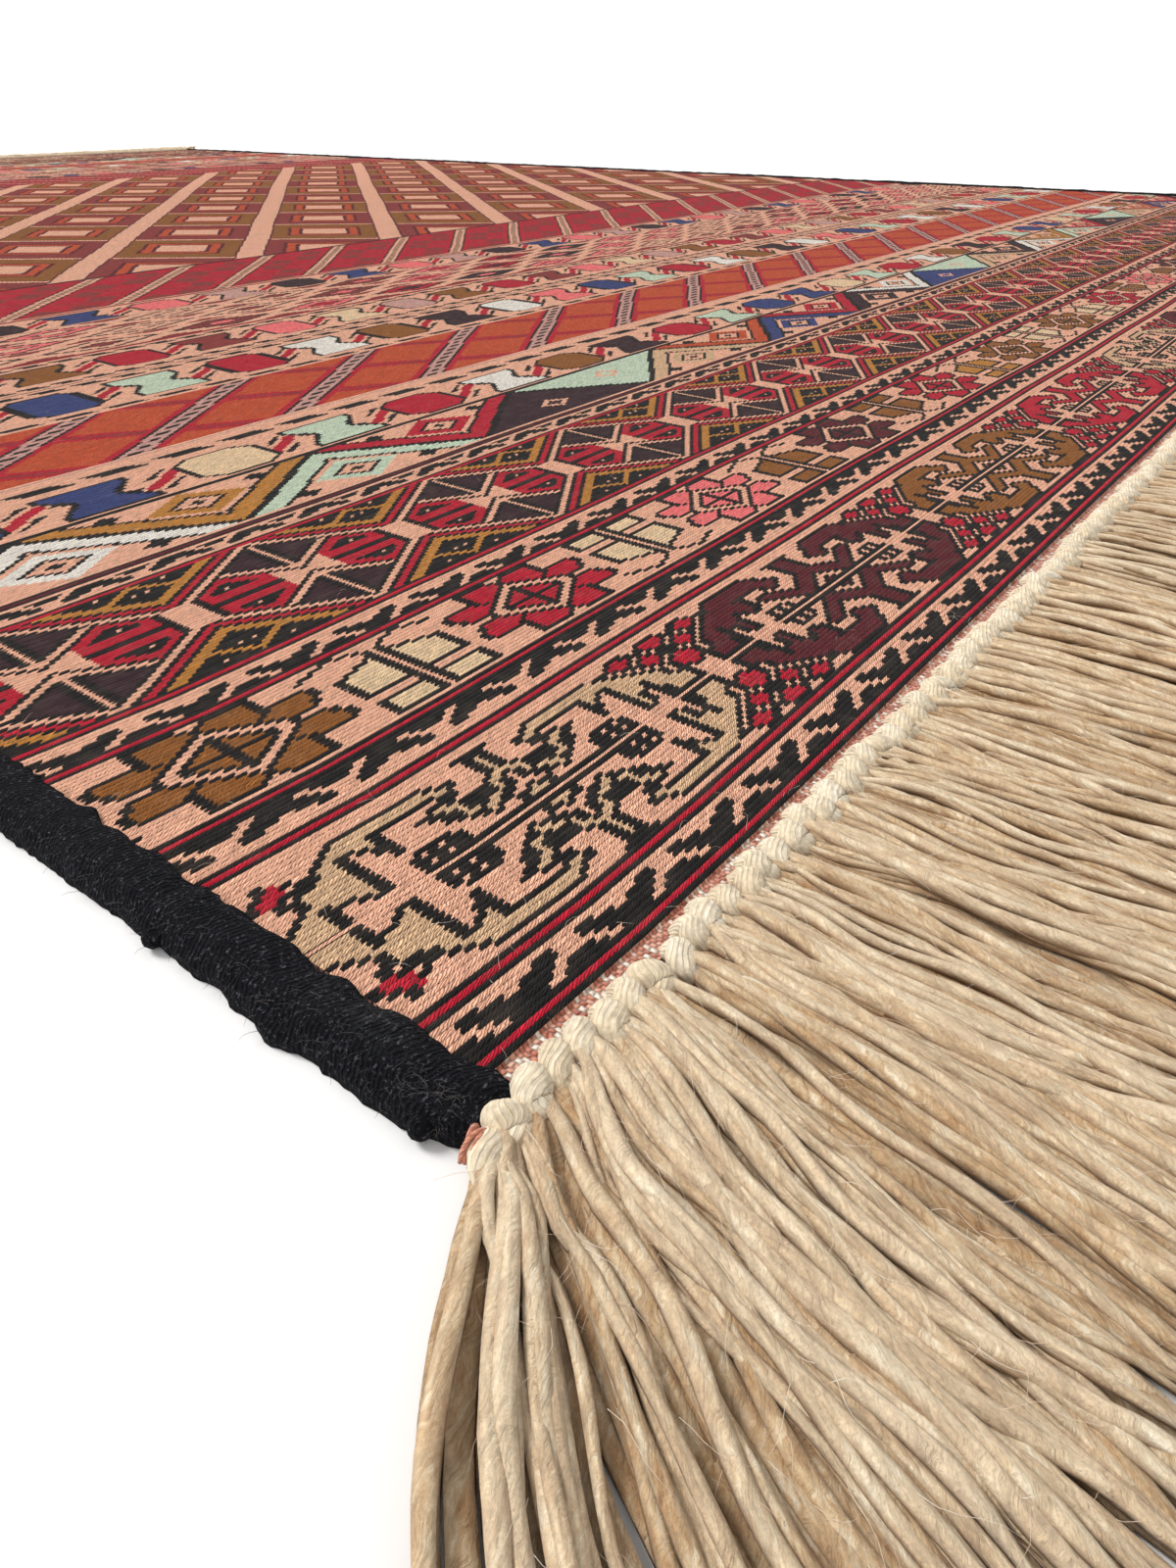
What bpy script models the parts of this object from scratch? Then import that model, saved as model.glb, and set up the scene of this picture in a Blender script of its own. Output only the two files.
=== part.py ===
"""Flat-woven soumak kilim rug, lying flat.

A patterned woven ground with a plain-woven strip at each end, an overcast binding down each long
side, and a knotted fringe, one comb along each end. Metres, +Z up. The long sides run along Y, and
the origin is on the floor under the middle of the rug.
"""
import math

import bmesh
import bpy
from mathutils import Matrix

# Driving dimensions
RUG_WIDTH = 2.000            # over both bindings, along X
WOVEN_LENGTH = 3.000         # between the two fringe headings, along Y
GROUND_THICKNESS = 0.0030    # the patterned soumak cloth
END_STRIP_LENGTH = 0.0055    # plain-woven strip at each end of the cloth
END_STRIP_THICKNESS = 0.0020
BINDING_WIDTH = 0.0165       # the wool-wrapped side edge
BINDING_HEIGHT = 0.0060
HEADING_DEPTH = 0.0075       # the row of fringe knots, along Y
HEADING_HEIGHT = 0.0055
FRINGE_LENGTH = 0.120        # free yarn beyond the knots
FRINGE_ROOT_HEIGHT = 0.0050
FRINGE_TIP_HEIGHT = 0.0030
GAP = 0.0003                 # clearance between neighbouring pieces

# Unevenness of a hand-woven edge
SIDE_WANDER = 0.0018         # how far a side strays from straight
END_WANDER = 0.0012          # how far an end strays from straight
CORNER_PULL = 0.0030         # how far an end is drawn in beside a binding
CORNER_PULL_REACH = 0.040
GROUND_RIPPLE = 0.00015      # height of the cloth's slow ripple

HEIGHT_SHIFT = 0.05          # along Y, between the binding's fullest width and fullest height

# Fringe layout
TEETH = 36                   # bunches of yarn in each comb
TOOTH_GAP = 0.0030           # space between two bunches at the knots
TOOTH_TAPER = 0.08           # share of its width that a bunch loses by its tip
TOOTH_STEPS = 5              # lengths that a bunch is built from
ROOT_SPLAY = 1.10            # radians by which the outermost yarn leans out as it leaves its knot
TIP_SPLAY = 0.42             # and at its tip, where it has curved back
SPLAY_REACH = 0.050          # distance along the end over which the leaning fades
CORNER_LOFT = 0.0060         # extra height of the piled yarn at a corner
SWAY = 0.10                  # radians of slow sway along the fringe

# Mesh density
SIDE_SECTIONS = 60           # sections down a binding
GROUND_ROWS = 30
GROUND_COLUMNS = 14

INNER_HALF_WIDTH = RUG_WIDTH / 2 - BINDING_WIDTH
HALF_LENGTH = WOVEN_LENGTH / 2

COLOURS = {
    "woven_ground": (0.46, 0.16, 0.11, 1.0),
    "side_binding": (0.012, 0.013, 0.020, 1.0),
    "fringe_yarn": (0.68, 0.53, 0.34, 1.0),
}


def clear_scene():
    for item in list(bpy.data.objects):
        bpy.data.objects.remove(item, do_unlink=True)


def wool(name, colour):
    """A matt wool material."""
    material = bpy.data.materials.new(name)
    material.use_nodes = True
    shader = material.node_tree.nodes["Principled BSDF"]
    shader.inputs["Base Color"].default_value = colour
    shader.inputs["Roughness"].default_value = 0.92
    shader.inputs["Metallic"].default_value = 0.0
    return material


def add_object(name, mesh, material):
    item = bpy.data.objects.new(name, mesh)
    bpy.context.scene.collection.objects.link(item)
    mesh.materials.append(material)
    return item


def mesh_from(name, bm):
    bmesh.ops.recalc_face_normals(bm, faces=bm.faces)
    mesh = bpy.data.meshes.new(name)
    bm.to_mesh(mesh)
    bm.free()
    return mesh


def side_x(y):
    """Distance from the centre line to the cloth's side at y."""
    slow = math.sin(2 * math.pi * y / 0.93 + 0.7)
    quick = math.sin(2 * math.pi * y / 0.37 + 2.1)
    return INNER_HALF_WIDTH - SIDE_WANDER * (0.5 + 0.35 * slow + 0.15 * quick)


def end_y(x):
    """Distance from the cross centre line to the cloth's end at x."""
    beside_binding = max(0.0, INNER_HALF_WIDTH - abs(x))
    pulled = CORNER_PULL * math.exp(-beside_binding / CORNER_PULL_REACH)
    slow = math.sin(2 * math.pi * x / 0.83 + 1.3)
    return HALF_LENGTH - pulled - END_WANDER * (0.5 + 0.5 * slow)


def ring_faces(bm, rings, closed_ends=True):
    """Skin a list of equal rings of vertices, and cap both ends."""
    count = len(rings[0])
    for low, high in zip(rings, rings[1:]):
        for i in range(count):
            j = (i + 1) % count
            bm.faces.new((low[i], low[j], high[j], high[i]))
    if closed_ends:
        bm.faces.new(rings[0][::-1])
        bm.faces.new(rings[-1])


def ground_stations(half_span, edge_steps, count):
    """Positions from -half_span to half_span: close together at the ends, then evenly spaced."""
    inner = half_span - edge_steps[-1]
    evenly = [-inner + 2 * inner * i / count for i in range(1, count)]
    left = [-half_span + step for step in edge_steps]
    return left + evenly + [-x for x in reversed(left)]


def build_ground(material):
    """The cloth: one sheet with uneven sides and ends, thinner in the plain-woven end strips."""
    columns = ground_stations(1.0, (0.0, 0.02, 0.06, 0.14), GROUND_COLUMNS)
    ramp = 0.0015
    edges = (0.0, END_STRIP_LENGTH, END_STRIP_LENGTH + ramp)
    rows = ground_stations(HALF_LENGTH, edges, GROUND_ROWS)

    bm = bmesh.new()
    top, bottom = [], []
    for row_y in rows:
        from_end = HALF_LENGTH - abs(row_y)
        strip = from_end < END_STRIP_LENGTH + ramp / 2
        base = END_STRIP_THICKNESS if strip else GROUND_THICKNESS
        top_row, bottom_row = [], []
        for share in columns:
            x = share * side_x(row_y)
            y = row_y * end_y(x) / HALF_LENGTH
            ripple = 0.0 if strip else GROUND_RIPPLE * math.sin(9 * x + 4 * y) * math.sin(5 * y - 3 * x)
            top_row.append(bm.verts.new((x, y, base + ripple)))
            bottom_row.append(bm.verts.new((x, y, 0.0)))
        top.append(top_row)
        bottom.append(bottom_row)

    last_row, last_column = len(rows) - 1, len(columns) - 1
    for j in range(last_row):
        for i in range(last_column):
            bm.faces.new((top[j][i], top[j][i + 1], top[j + 1][i + 1], top[j + 1][i]))
            bm.faces.new((bottom[j][i], bottom[j + 1][i], bottom[j + 1][i + 1], bottom[j][i + 1]))
        bm.faces.new((bottom[j][0], top[j][0], top[j + 1][0], bottom[j + 1][0]))
        bm.faces.new((bottom[j][-1], bottom[j + 1][-1], top[j + 1][-1], top[j][-1]))
    for i in range(last_column):
        bm.faces.new((bottom[0][i], bottom[0][i + 1], top[0][i + 1], top[0][i]))
        bm.faces.new((bottom[-1][i], top[-1][i], top[-1][i + 1], bottom[-1][i + 1]))
    return add_object("woven_ground", mesh_from("woven_ground", bm), material)


# The binding's rounded section: share of its width from the cloth outwards, share of its height
BINDING_SECTION = (
    {"across": 0.00, "up": 0.00},
    {"across": 0.92, "up": 0.00},
    {"across": 1.00, "up": 0.40},
    {"across": 0.88, "up": 0.84},
    {"across": 0.55, "up": 1.00},
    {"across": 0.18, "up": 0.90},
    {"across": 0.00, "up": 0.55},
)


def binding_swell(y):
    """How full the wrapping is at y, up to 1: a slow swell, with lumps where yarns were joined in."""
    slow = 0.5 + 0.5 * math.sin(2 * math.pi * y / 0.41 + 0.9)
    lumps = max(0.0, math.sin(2 * math.pi * y / 0.113 + 0.4)) ** 3
    return 0.86 + 0.06 * slow + 0.08 * lumps


def build_binding(name, side, material):
    """The overcast binding down one side; side is -1 or +1."""
    bm = bmesh.new()
    rings = []
    corner_y = end_y(INNER_HALF_WIDTH)
    for i in range(SIDE_SECTIONS + 1):
        y = -corner_y + 2 * corner_y * i / SIDE_SECTIONS
        inner = side_x(y) + GAP
        width = (RUG_WIDTH / 2 - inner) * binding_swell(y)
        height = BINDING_HEIGHT * binding_swell(y + HEIGHT_SHIFT)
        ring = []
        for point in BINDING_SECTION:
            ring.append(bm.verts.new((side * (inner + point["across"] * width), y, point["up"] * height)))
        rings.append(ring)
    ring_faces(bm, rings)
    return add_object(name, mesh_from(name, bm), material)


# The heading's section: share of its depth from the cloth outwards, share of its height
HEADING_SECTION = (
    {"out": 0.00, "up": 0.00},
    {"out": 0.00, "up": 0.55},
    {"out": 0.30, "up": 1.00},
    {"out": 0.70, "up": 1.00},
    {"out": 1.00, "up": 0.70},
    {"out": 1.00, "up": 0.00},
)
OUTER_TOP, OUTER_BOTTOM = 4, 5       # the two points of its upright outer edge


def lean(x, run):
    """Angle away from the rug's centre line of the yarn from x, after a run of its length."""
    share = run / FRINGE_LENGTH
    to_corner = max(0.0, RUG_WIDTH / 2 - abs(x))
    splay = (ROOT_SPLAY + (TIP_SPLAY - ROOT_SPLAY) * share) * math.exp(-to_corner / SPLAY_REACH)
    sway = SWAY * math.sin(11.0 * x + 0.8) * math.sin(math.pi * share)
    return math.copysign(splay, x) + sway


def yarn_height(x, run):
    """Height of the lying yarn: piled up at the corners, thinner towards the tips."""
    share = run / FRINGE_LENGTH
    to_corner = max(0.0, RUG_WIDTH / 2 - abs(x))
    loft = CORNER_LOFT * math.exp(-to_corner / SPLAY_REACH) * math.sin(math.pi * share)
    return FRINGE_ROOT_HEIGHT + (FRINGE_TIP_HEIGHT - FRINGE_ROOT_HEIGHT) * share + loft


def yarn_path(x, root_y):
    """Points of the yarn that leaves the knots at x, one for each step of a bunch."""
    step = FRINGE_LENGTH / TOOTH_STEPS
    point_x, point_y = x, root_y
    points = []
    for i in range(TOOTH_STEPS):
        angle = lean(x, (i + 0.5) * step)
        point_x += step * math.sin(angle)
        point_y += step * math.cos(angle)
        points.append((point_x, point_y))
    return points


def grow_bunch(bm, left_root, right_root):
    """One bunch of yarn from the heading's outer edge; each root is its (top, bottom) vertices."""
    left_path = yarn_path(left_root[0].co.x, left_root[0].co.y)
    right_path = yarn_path(right_root[0].co.x, right_root[0].co.y)
    rings = [(left_root[0], left_root[1], right_root[1], right_root[0])]
    for i, (left, right) in enumerate(zip(left_path, right_path)):
        run = FRINGE_LENGTH * (i + 1) / TOOTH_STEPS
        pinch = TOOTH_TAPER * (i + 1) / TOOTH_STEPS / 2
        ring = []
        for near, far, up in ((left, right, 1), (left, right, 0), (right, left, 0), (right, left, 1)):
            x = near[0] + (far[0] - near[0]) * pinch
            y = near[1] + (far[1] - near[1]) * pinch
            ring.append(bm.verts.new((x, y, up * yarn_height(left_root[0].co.x, run))))
        rings.append(ring)
    for low, high in zip(rings, rings[1:]):
        for i in range(4):
            bm.faces.new((low[i], low[(i + 1) % 4], high[(i + 1) % 4], high[i]))
    bm.faces.new(rings[-1])


def build_comb(name, end, material):
    """The knotted fringe at one end, a heading with its bunches; end is -1 or +1.

    It is modelled at the +Y end, and turned half round for the -Y end.
    """
    pitch = RUG_WIDTH / TEETH
    stations = []
    for i in range(TEETH):
        left = -RUG_WIDTH / 2 + i * pitch
        stations += [left + TOOTH_GAP / 2, left + pitch - TOOTH_GAP / 2]

    bm = bmesh.new()
    rings = []
    for x in stations:
        root_y = end_y(end * x) + GAP
        ring = []
        for point in HEADING_SECTION:
            y = root_y + point["out"] * HEADING_DEPTH
            ring.append(bm.verts.new((x, y, point["up"] * HEADING_HEIGHT)))
        rings.append(ring)
    sides = len(HEADING_SECTION)
    for k, (low, high) in enumerate(zip(rings, rings[1:])):
        for i in range(sides):
            j = (i + 1) % sides
            if i == OUTER_TOP and k % 2 == 0:
                grow_bunch(bm, (low[OUTER_TOP], low[OUTER_BOTTOM]), (high[OUTER_TOP], high[OUTER_BOTTOM]))
            else:
                bm.faces.new((low[i], low[j], high[j], high[i]))
    bm.faces.new(rings[0][::-1])
    bm.faces.new(rings[-1])
    if end < 0:
        bmesh.ops.rotate(bm, verts=bm.verts, matrix=Matrix.Rotation(math.pi, 3, "Z"))
    return add_object(name, mesh_from(name, bm), material)


def main():
    clear_scene()
    cloth = wool("woven_ground", COLOURS["woven_ground"])
    wrapping = wool("side_binding", COLOURS["side_binding"])
    yarn = wool("fringe_yarn", COLOURS["fringe_yarn"])
    build_ground(cloth)
    build_binding("side_binding_left", -1, wrapping)
    build_binding("side_binding_right", 1, wrapping)
    build_comb("fringe_comb_near", -1, yarn)
    build_comb("fringe_comb_far", 1, yarn)


main()
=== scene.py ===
"""Visual model of the soumak kilim rug: the cloth with its woven pattern, the wrapped side
bindings, the knotted fringes and the loose fibres. Metres, +Z up, in the frame of the CAD model.

The pattern is a traditional one. It was charted looking at plan views of the photograph
with a stitch grid over them: the near motifs are small charts, and the rest are rules in stitches
and rows. It is laid over the cloth row by row. Nothing is read from disk but the CAD frame.
"""
import math

import bpy
import numpy as np
from mathutils import Matrix, Vector


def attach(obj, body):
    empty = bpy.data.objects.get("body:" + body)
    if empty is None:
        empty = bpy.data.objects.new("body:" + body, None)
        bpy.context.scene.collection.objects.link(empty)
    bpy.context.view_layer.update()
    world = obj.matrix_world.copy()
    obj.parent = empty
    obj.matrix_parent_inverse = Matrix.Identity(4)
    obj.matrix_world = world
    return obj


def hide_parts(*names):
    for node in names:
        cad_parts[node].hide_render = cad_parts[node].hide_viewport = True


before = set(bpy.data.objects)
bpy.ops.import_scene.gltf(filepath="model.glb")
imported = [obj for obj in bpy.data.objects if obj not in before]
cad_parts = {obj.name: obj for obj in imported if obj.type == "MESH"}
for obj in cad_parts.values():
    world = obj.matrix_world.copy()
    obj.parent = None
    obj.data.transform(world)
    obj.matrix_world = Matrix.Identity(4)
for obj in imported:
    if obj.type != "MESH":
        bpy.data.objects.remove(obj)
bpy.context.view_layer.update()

SEED = 20260

# ---- Sizes, which repeat those of the CAD model but for the splay ----
RUG_WIDTH = 2.000
WOVEN_LENGTH = 3.000
GROUND_THICKNESS = 0.0030
END_STRIP_LENGTH = 0.0055
END_STRIP_THICKNESS = 0.0020
BINDING_WIDTH = 0.0165
BINDING_HEIGHT = 0.0060
FRINGE_LENGTH = 0.120
GAP = 0.0003
SIDE_WANDER = 0.0018         # how far a side strays from straight
END_WANDER = 0.0012          # and an end
CORNER_PULL = 0.0030         # how far an end is drawn in beside a binding
CORNER_PULL_REACH = 0.040
GROUND_RIPPLE = 0.00015      # height of the cloth's slow ripple
ROOT_SPLAY = 1.20            # radians the outermost yarn leans out; 1.10 in the CAD's bunches
TIP_SPLAY = 0.42             # and at its tip
SPLAY_REACH = 0.050          # along the end, over which the leaning fades
CORNER_LOFT = 0.0060         # extra height of the piled yarn at a corner
SWAY = 0.10                  # radians of slow sway along the fringe
HEIGHT_SHIFT = 0.05          # along Y, from the binding's fullest width to its fullest height
PATTERN_MARGIN = 0.0005      # from the pattern's end to the plain strip

INNER_HALF_WIDTH = RUG_WIDTH / 2 - BINDING_WIDTH
HALF_LENGTH = WOVEN_LENGTH / 2
HALF_PATTERN = HALF_LENGTH - END_STRIP_LENGTH - PATTERN_MARGIN

# The weave
STITCHES = 756               # across the cloth, 2.6 mm each
ROWS = 1780                  # along the cloth, 1.68 mm each
BLOCK = 18                   # stitches under one face of the cloth's mesh
BACK_ROWS = 10               # rows under one face of the cloth's back
STEP_DOWN = 0.0004           # from the pattern's edge to the plain strip, along Y
ROW_RIDGE = 0.00016          # how much lower every other row's edge lies
LEAST_HEIGHT = 0.0001        # of yarn over the floor
ANY_PHASE = 6.28             # nearly a full turn, within which phases and headings are drawn


def part_of(value, reach):
    """0 to 1, as a value runs from 0 to its reach."""
    return np.clip(value / reach, 0, 1)


def wave(place, length, phase=0.0):
    return np.sin(2 * math.pi * place / length + phase)


def side_x(y):
    """Distance from the centre line to the cloth's side at y."""
    wander = 0.35 * wave(y, 0.93, 0.7) + 0.15 * wave(y, 0.37, 2.1)
    return INNER_HALF_WIDTH - SIDE_WANDER * (0.5 + wander)


def end_y(x):
    """Distance from the cross centre line to the cloth's end at x."""
    beside_binding = np.maximum(0.0, INNER_HALF_WIDTH - np.abs(x))
    pulled = CORNER_PULL * np.exp(-beside_binding / CORNER_PULL_REACH)
    return HALF_LENGTH - pulled - END_WANDER * (0.5 + 0.5 * wave(x, 0.83, 1.3))


# ---- The pattern, as an array of palette numbers: one row of numbers for each woven row ----
PALETTE = (
    (".", (227, 169, 141)),  # peach ground
    ("#", (15, 14, 15)),     # black
    ("r", (178, 18, 44)),    # red
    ("m", (88, 24, 34)),     # maroon
    ("n", (52, 28, 36)),     # aubergine
    ("o", (138, 84, 34)),    # ochre brown
    ("g", (182, 122, 52)),   # gold
    ("s", (232, 112, 112)),  # salmon
    ("b", (206, 168, 132)),  # beige
    ("c", (224, 192, 154)),  # cream
    ("w", (228, 220, 210)),  # off-white
    ("a", (190, 204, 180)),  # sage
    ("u", (48, 60, 112)),    # blue
    ("t", (186, 74, 40)),    # rust
    ("d", (134, 50, 48)),    # dull dark red
    ("p", (196, 148, 138)),  # dusty pink
    ("=", (227, 169, 141)),  # a fine peach thread between two black ones
)
CODE = {letter: number for number, (letter, _) in enumerate(PALETTE)}
BASE = len(PALETTE)
DIGITS = 5                   # palette numbers packed in one colour channel

GUARD = """
.......
..##...
..####.
...####
##..###
###..##
"""

# Medallions of the main border: a quarter each, centre column first, axis row last
FINE_MEDALLION = """
###.....................###...##
##......###########....#rr##.#rr
F#.....#FFFFFFFFFFFF###rrrr###rr
F#...##FFFFFFFFFFFFFF#.#rr#.#.#r
F#...#FF########FFFFFF#.##.#r#.#
F#....##.......#FF##FFF#.##rrr##
F#....####.....#F#.#FFFF#.#rrr##
FF#....#FF##...##..#FFFFF#.#r#.#
#FF####FF##....##..#FFFFFF#.#.#r
.#F####F##.....#...#FFF#FFF#.#rr
.#F####F##.....#...#FFF#FFF#.#rr
.##FF#FF#..........#F###FFF#.#rr
..##FF##...####....#F#.#FFFF###r
#..##F#...##.#.#...#F#.##FFFF#.#
F##..#....######...#F#.##FFFF#..
FF#.......##.#.#...##..##FFFF#..
################.......#######..
================.......=======..
"""
BOLD_MEDALLION = """
.........##########.....###...##
####....#FFFFFFFFFF#...#rr##.#rr
FF#....#FFFFFFFFFFFF###rrrr###rr
FF#....#FFFFFFFFFFFF##.#rr#.#.#r
FF#...#FFFFFFFFFFFFFFF#.##.#r#.#
FF#..#FFFF######FFFFFFF#.##rrr##
FF#..#FFF#....#FFFFFFFFF#.#rrr##
FF#...#FF#....#FFFFFFFFFF#.#r#.#
FF#....##.###.#FFF#FFFFFFF#.#.#r
FFF#.....#FFF##FF##FFFF#FFF#.#rr
FFFF#...#FFF#.##F#.#FFF#FFF#.#rr
#FFFF#.#FFF#...##..#F###FFF#.#rr
.#FFFF#FFF#........#F#.#FFFF###r
..#FFFFFF#..####...#F#.##FFFF#.#
#..#FFFF#..#.#.#...#F#.##FFFF#..
F#..#FF#...#.#.#...##..##FFFF#..
#################......#######..
=================......=======..
"""
# How the first medallion ends against the left binding, outermost column first
FIRST_END = """
..........
..........
..#......#
..#r....#F
.#rr#..#FF
#rrr.##FF#
#rr####FF#
..#.##FFF#
..##FFFFF#
...#FFFFF#
...#FFFFF#
..#FFFFFF#
.#FF#FFFF#
#FFF###FF#
FFFF#..#F#
FFFF#...##
FFFF#.....
=====.....
"""
MEDALLION_WIDTH = 63         # stitches
MEDALLION_CENTRE = 28.5      # the first one's, from the cloth's left side
MEDALLIONS = "bmorbmsob"     # their colours in turn, from the left
FINE_COLOURS = "bg"          # those that have the finer chart

ROSETTE = """
..######......
.#FFFFF#......
#FFFFFF#......
#FFFFFF#......
.#FFFFF#......
..#FFFF######.
#..#FFF#FFFFF#
##..#F#FFFFFF#
#F#..#FFFFFFF#
#FF#..#FFFFF#.
#FFF#..#FFFF#.
#FFFF#..####..
######..#.....
"""
ROSETTE_PITCH = 48
ROSETTE_CENTRE = 14
ROSETTE_REACH = 13           # stitches from a rosette's centre to its tips
ROSETTES = "orsmro"          # their colours in turn

# The leaf between two rosettes: half of it, stem column first, 25 rows
LEAF = """
.....##.....
...##..##...
..#......##.
.#.........#
.#..........
.##.........
.#F##.......
.#FFF##.....
.#FFFFF##...
.#FFFFFF#...
.#FFFFFF#...
.#FFFFFF#...
.#FFFFFF#...
.#FFFFFF#...
.#FFFFFF#...
.#FFFFFF#...
.########...
.#..........
.#..........
.########...
.#FFFFFF#...
.#FFFFFF#...
.#FFFFFF#...
.#FFFFFF#...
.########...
"""
LEAVES = "ccoog"             # and the leaves'

HEXAGON_PITCH = 38
HEXAGON_CENTRE = 12.5

columns = np.arange(STITCHES)
# A row's length over a stitch's width
ROW_OVER_STITCH = HALF_LENGTH / ROWS * STITCHES / INNER_HALF_WIDTH


def chart(text, fill="."):
    """The palette numbers of a chart, with its F stitches in the fill colour."""
    return np.array([[CODE[stitch] for stitch in line.replace("F", fill)] for line in text.split()])


def stripes(letters):
    """One plain row for each letter."""
    return np.repeat(np.array([[CODE[letter]] for letter in letters]), STITCHES, axis=1)


def from_centre(centre, pitch):
    """How far each column is from the nearest motif centre, and which motif that is."""
    which = np.floor((columns + 0.5 - centre) / pitch + 0.5).astype(int)
    away = np.abs(columns + 0.5 - centre - pitch * which)
    return away.astype(int), which


def guard(centre, flipped=False):
    """The narrow guard stripe of linked V shapes, six rows."""
    away = np.abs((columns - centre + 6) % 13 - 6)
    rows = chart(GUARD)[:, away]
    return rows if flipped else rows[::-1]


def in_turn(letters, numbers):
    """Palette numbers of letters that come in turn, for motifs with these numbers."""
    return np.array([CODE[letters[number % len(letters)]] for number in numbers])


def mirrored(half):
    """A chart with its mirror image below it, sharing its last row."""
    return np.concatenate([half, half[-2::-1]])


def main_border():
    """Thirty-five rows of mirrored medallions, with red boxes between them."""
    away, which = from_centre(MEDALLION_CENTRE, MEDALLION_WIDTH)
    out = np.zeros((35, STITCHES), int)
    for number in np.unique(which):
        fill = MEDALLIONS[number % len(MEDALLIONS)]
        quarter = chart(FINE_MEDALLION if fill in FINE_COLOURS else BOLD_MEDALLION, fill)
        mine = which == number
        out[:, mine] = mirrored(quarter)[:, away[mine]]
    end = mirrored(chart(FIRST_END, MEDALLIONS[0]))
    out[:, :end.shape[1]] = end
    return out


def rosette_border():
    """Twenty-five rows of stepped rosettes, with a leaf between each two."""
    place = columns - ROSETTE_CENTRE + ROSETTE_REACH
    along = place % ROSETTE_PITCH - ROSETTE_REACH
    blank = ((0, 0), (0, ROSETTE_PITCH))
    out = np.zeros((25, STITCHES), int)
    for number in np.unique(place // ROSETTE_PITCH):
        mine = place // ROSETTE_PITCH == number
        rosette = mirrored(chart(ROSETTE, ROSETTES[number % len(ROSETTES)]))
        leaf = chart(LEAF, LEAVES[number % len(LEAVES)])[::-1 if number % 2 == 0 else 1]
        stitches = np.pad(rosette, blank)[:, np.abs(along[mine])]
        leaves = np.pad(leaf, blank)[:, np.abs(along[mine] - ROSETTE_PITCH // 2)]
        out[:, mine] = np.where(stitches == 0, leaves, stitches)
    return out


def choose(conditions, letters, otherwise):
    """For each stitch, the letter of the first condition that holds."""
    return np.select(conditions, [CODE[letter] for letter in letters], otherwise)


def hexagon_band():
    """Forty-six rows of hexagons, each split into dark kites and two red flowers."""
    away, _ = from_centre(HEXAGON_CENTRE, HEXAGON_PITCH)
    k = np.abs(np.arange(46) + 0.5 - 23).astype(int)[:, None]
    c = away[None, :]
    out_by = c + k
    over = k - c
    dot = ((c == 18) & (k == 17)) | ((c == 14) & (k == 21)) | ((c == 11) & (k == 5))
    red_edge = (over >= -2) | (out_by >= 19) | (c >= 14) | (k <= 3)
    kite = over >= 4
    conditions = (
        (c >= 17) & (k <= 5),
        dot,
        (out_by >= 22) & (out_by <= 23),
        (out_by == 24) | (out_by == 27),
        (out_by == 25) | (out_by == 26),
        (out_by >= 28) & (out_by <= 30),
        (out_by > 30) & ((over == 2) | (over == 3)),
        (out_by > 30) | (out_by == 21),
        kite & (c == 0),
        kite & ((c == 1) | (over == 4)),
        kite,
        (over == 2) | (over == 3),
        over == 1,
        c <= 4,
        (k == 0) | (c == 16),
        red_edge,
    )
    return choose(conditions, "...#rgg#.#n.#.#r", CODE["#"])


def triangle_band():
    """Thirty rows of large triangles, pointing up and down in turn."""
    period = 56
    k = np.arange(30)[:, None]
    out = np.zeros((30, STITCHES), int)
    for centre, colours, height in ((29.5, "wanbunub", k), (57.5, "gratrwan", 29 - k)):
        away, which = from_centre(centre, period)
        c = away[None, :]
        edge = (period / 2 - 1 - c - height * period / 2 / 31).astype(int)
        fill = in_turn(colours, which)[None, :]
        filled = (which % 4 == 2)[None, :]
        nest = (c + np.abs(height - 9)).astype(int)
        box = (np.abs(c - 14) + np.abs(height - 3) <= 2) | (nest <= 1) | (nest == 5)
        stripe = ((edge >= 1) & (edge <= 6)) | ((nest >= 6) & (nest <= 9))
        mark = filled & ((nest == 3) | (nest == 4))
        body = np.select([mark, stripe | filled, box], [CODE["."], fill, CODE["#"]], CODE["."])
        body = np.where((edge == 0) | ((edge == 7) & (nest > 9) & ~filled), CODE["#"], body)
        out = np.where(edge >= 0, body, out)
    return out


def motif_band(rows, pitch, centre, colours):
    """Small waisted and eight-sided motifs in turn on peach, with a slanting red stroke between."""
    away, which = from_centre(centre, pitch)
    c = away[None, :]
    y = (np.arange(rows) + 0.5 - rows / 2)[:, None]
    k = np.abs(y)
    reach = rows / 2 - 2
    in_waisted = np.minimum(3 + 0.55 * k, pitch * 0.3) - c
    in_eight = np.minimum(pitch * 0.28, reach + pitch * 0.12 - k * 0.9) - c
    inside = np.minimum(np.where((which % 2 == 0)[None, :], in_waisted, in_eight), reach - k)
    gap = (((columns + 0.5 - centre) / pitch) % 1.0 - 0.5)[None, :] * pitch
    from_stroke = np.abs(gap - 0.85 * y)
    beside = (np.abs(from_stroke - 4.2) < 0.7) & (k <= reach * 0.8) & (k >= 2)
    stroke = (from_stroke <= 1.8) & (k <= reach * 0.55)
    ground = choose([(inside > -1.2) | beside, stroke], "#r", CODE["."])
    return np.where(inside > 0, in_turn(colours, which)[None, :], ground)


def dashes(pitch=12, rows=6):
    """A row of short dark dashes on peach."""
    y = np.arange(rows)[:, None]
    at = (columns[None, :] + y) % pitch
    return np.where((at < 0.6 * pitch) & (y >= 1) & (y <= rows - 3), CODE["#"], CODE["."])


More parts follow.
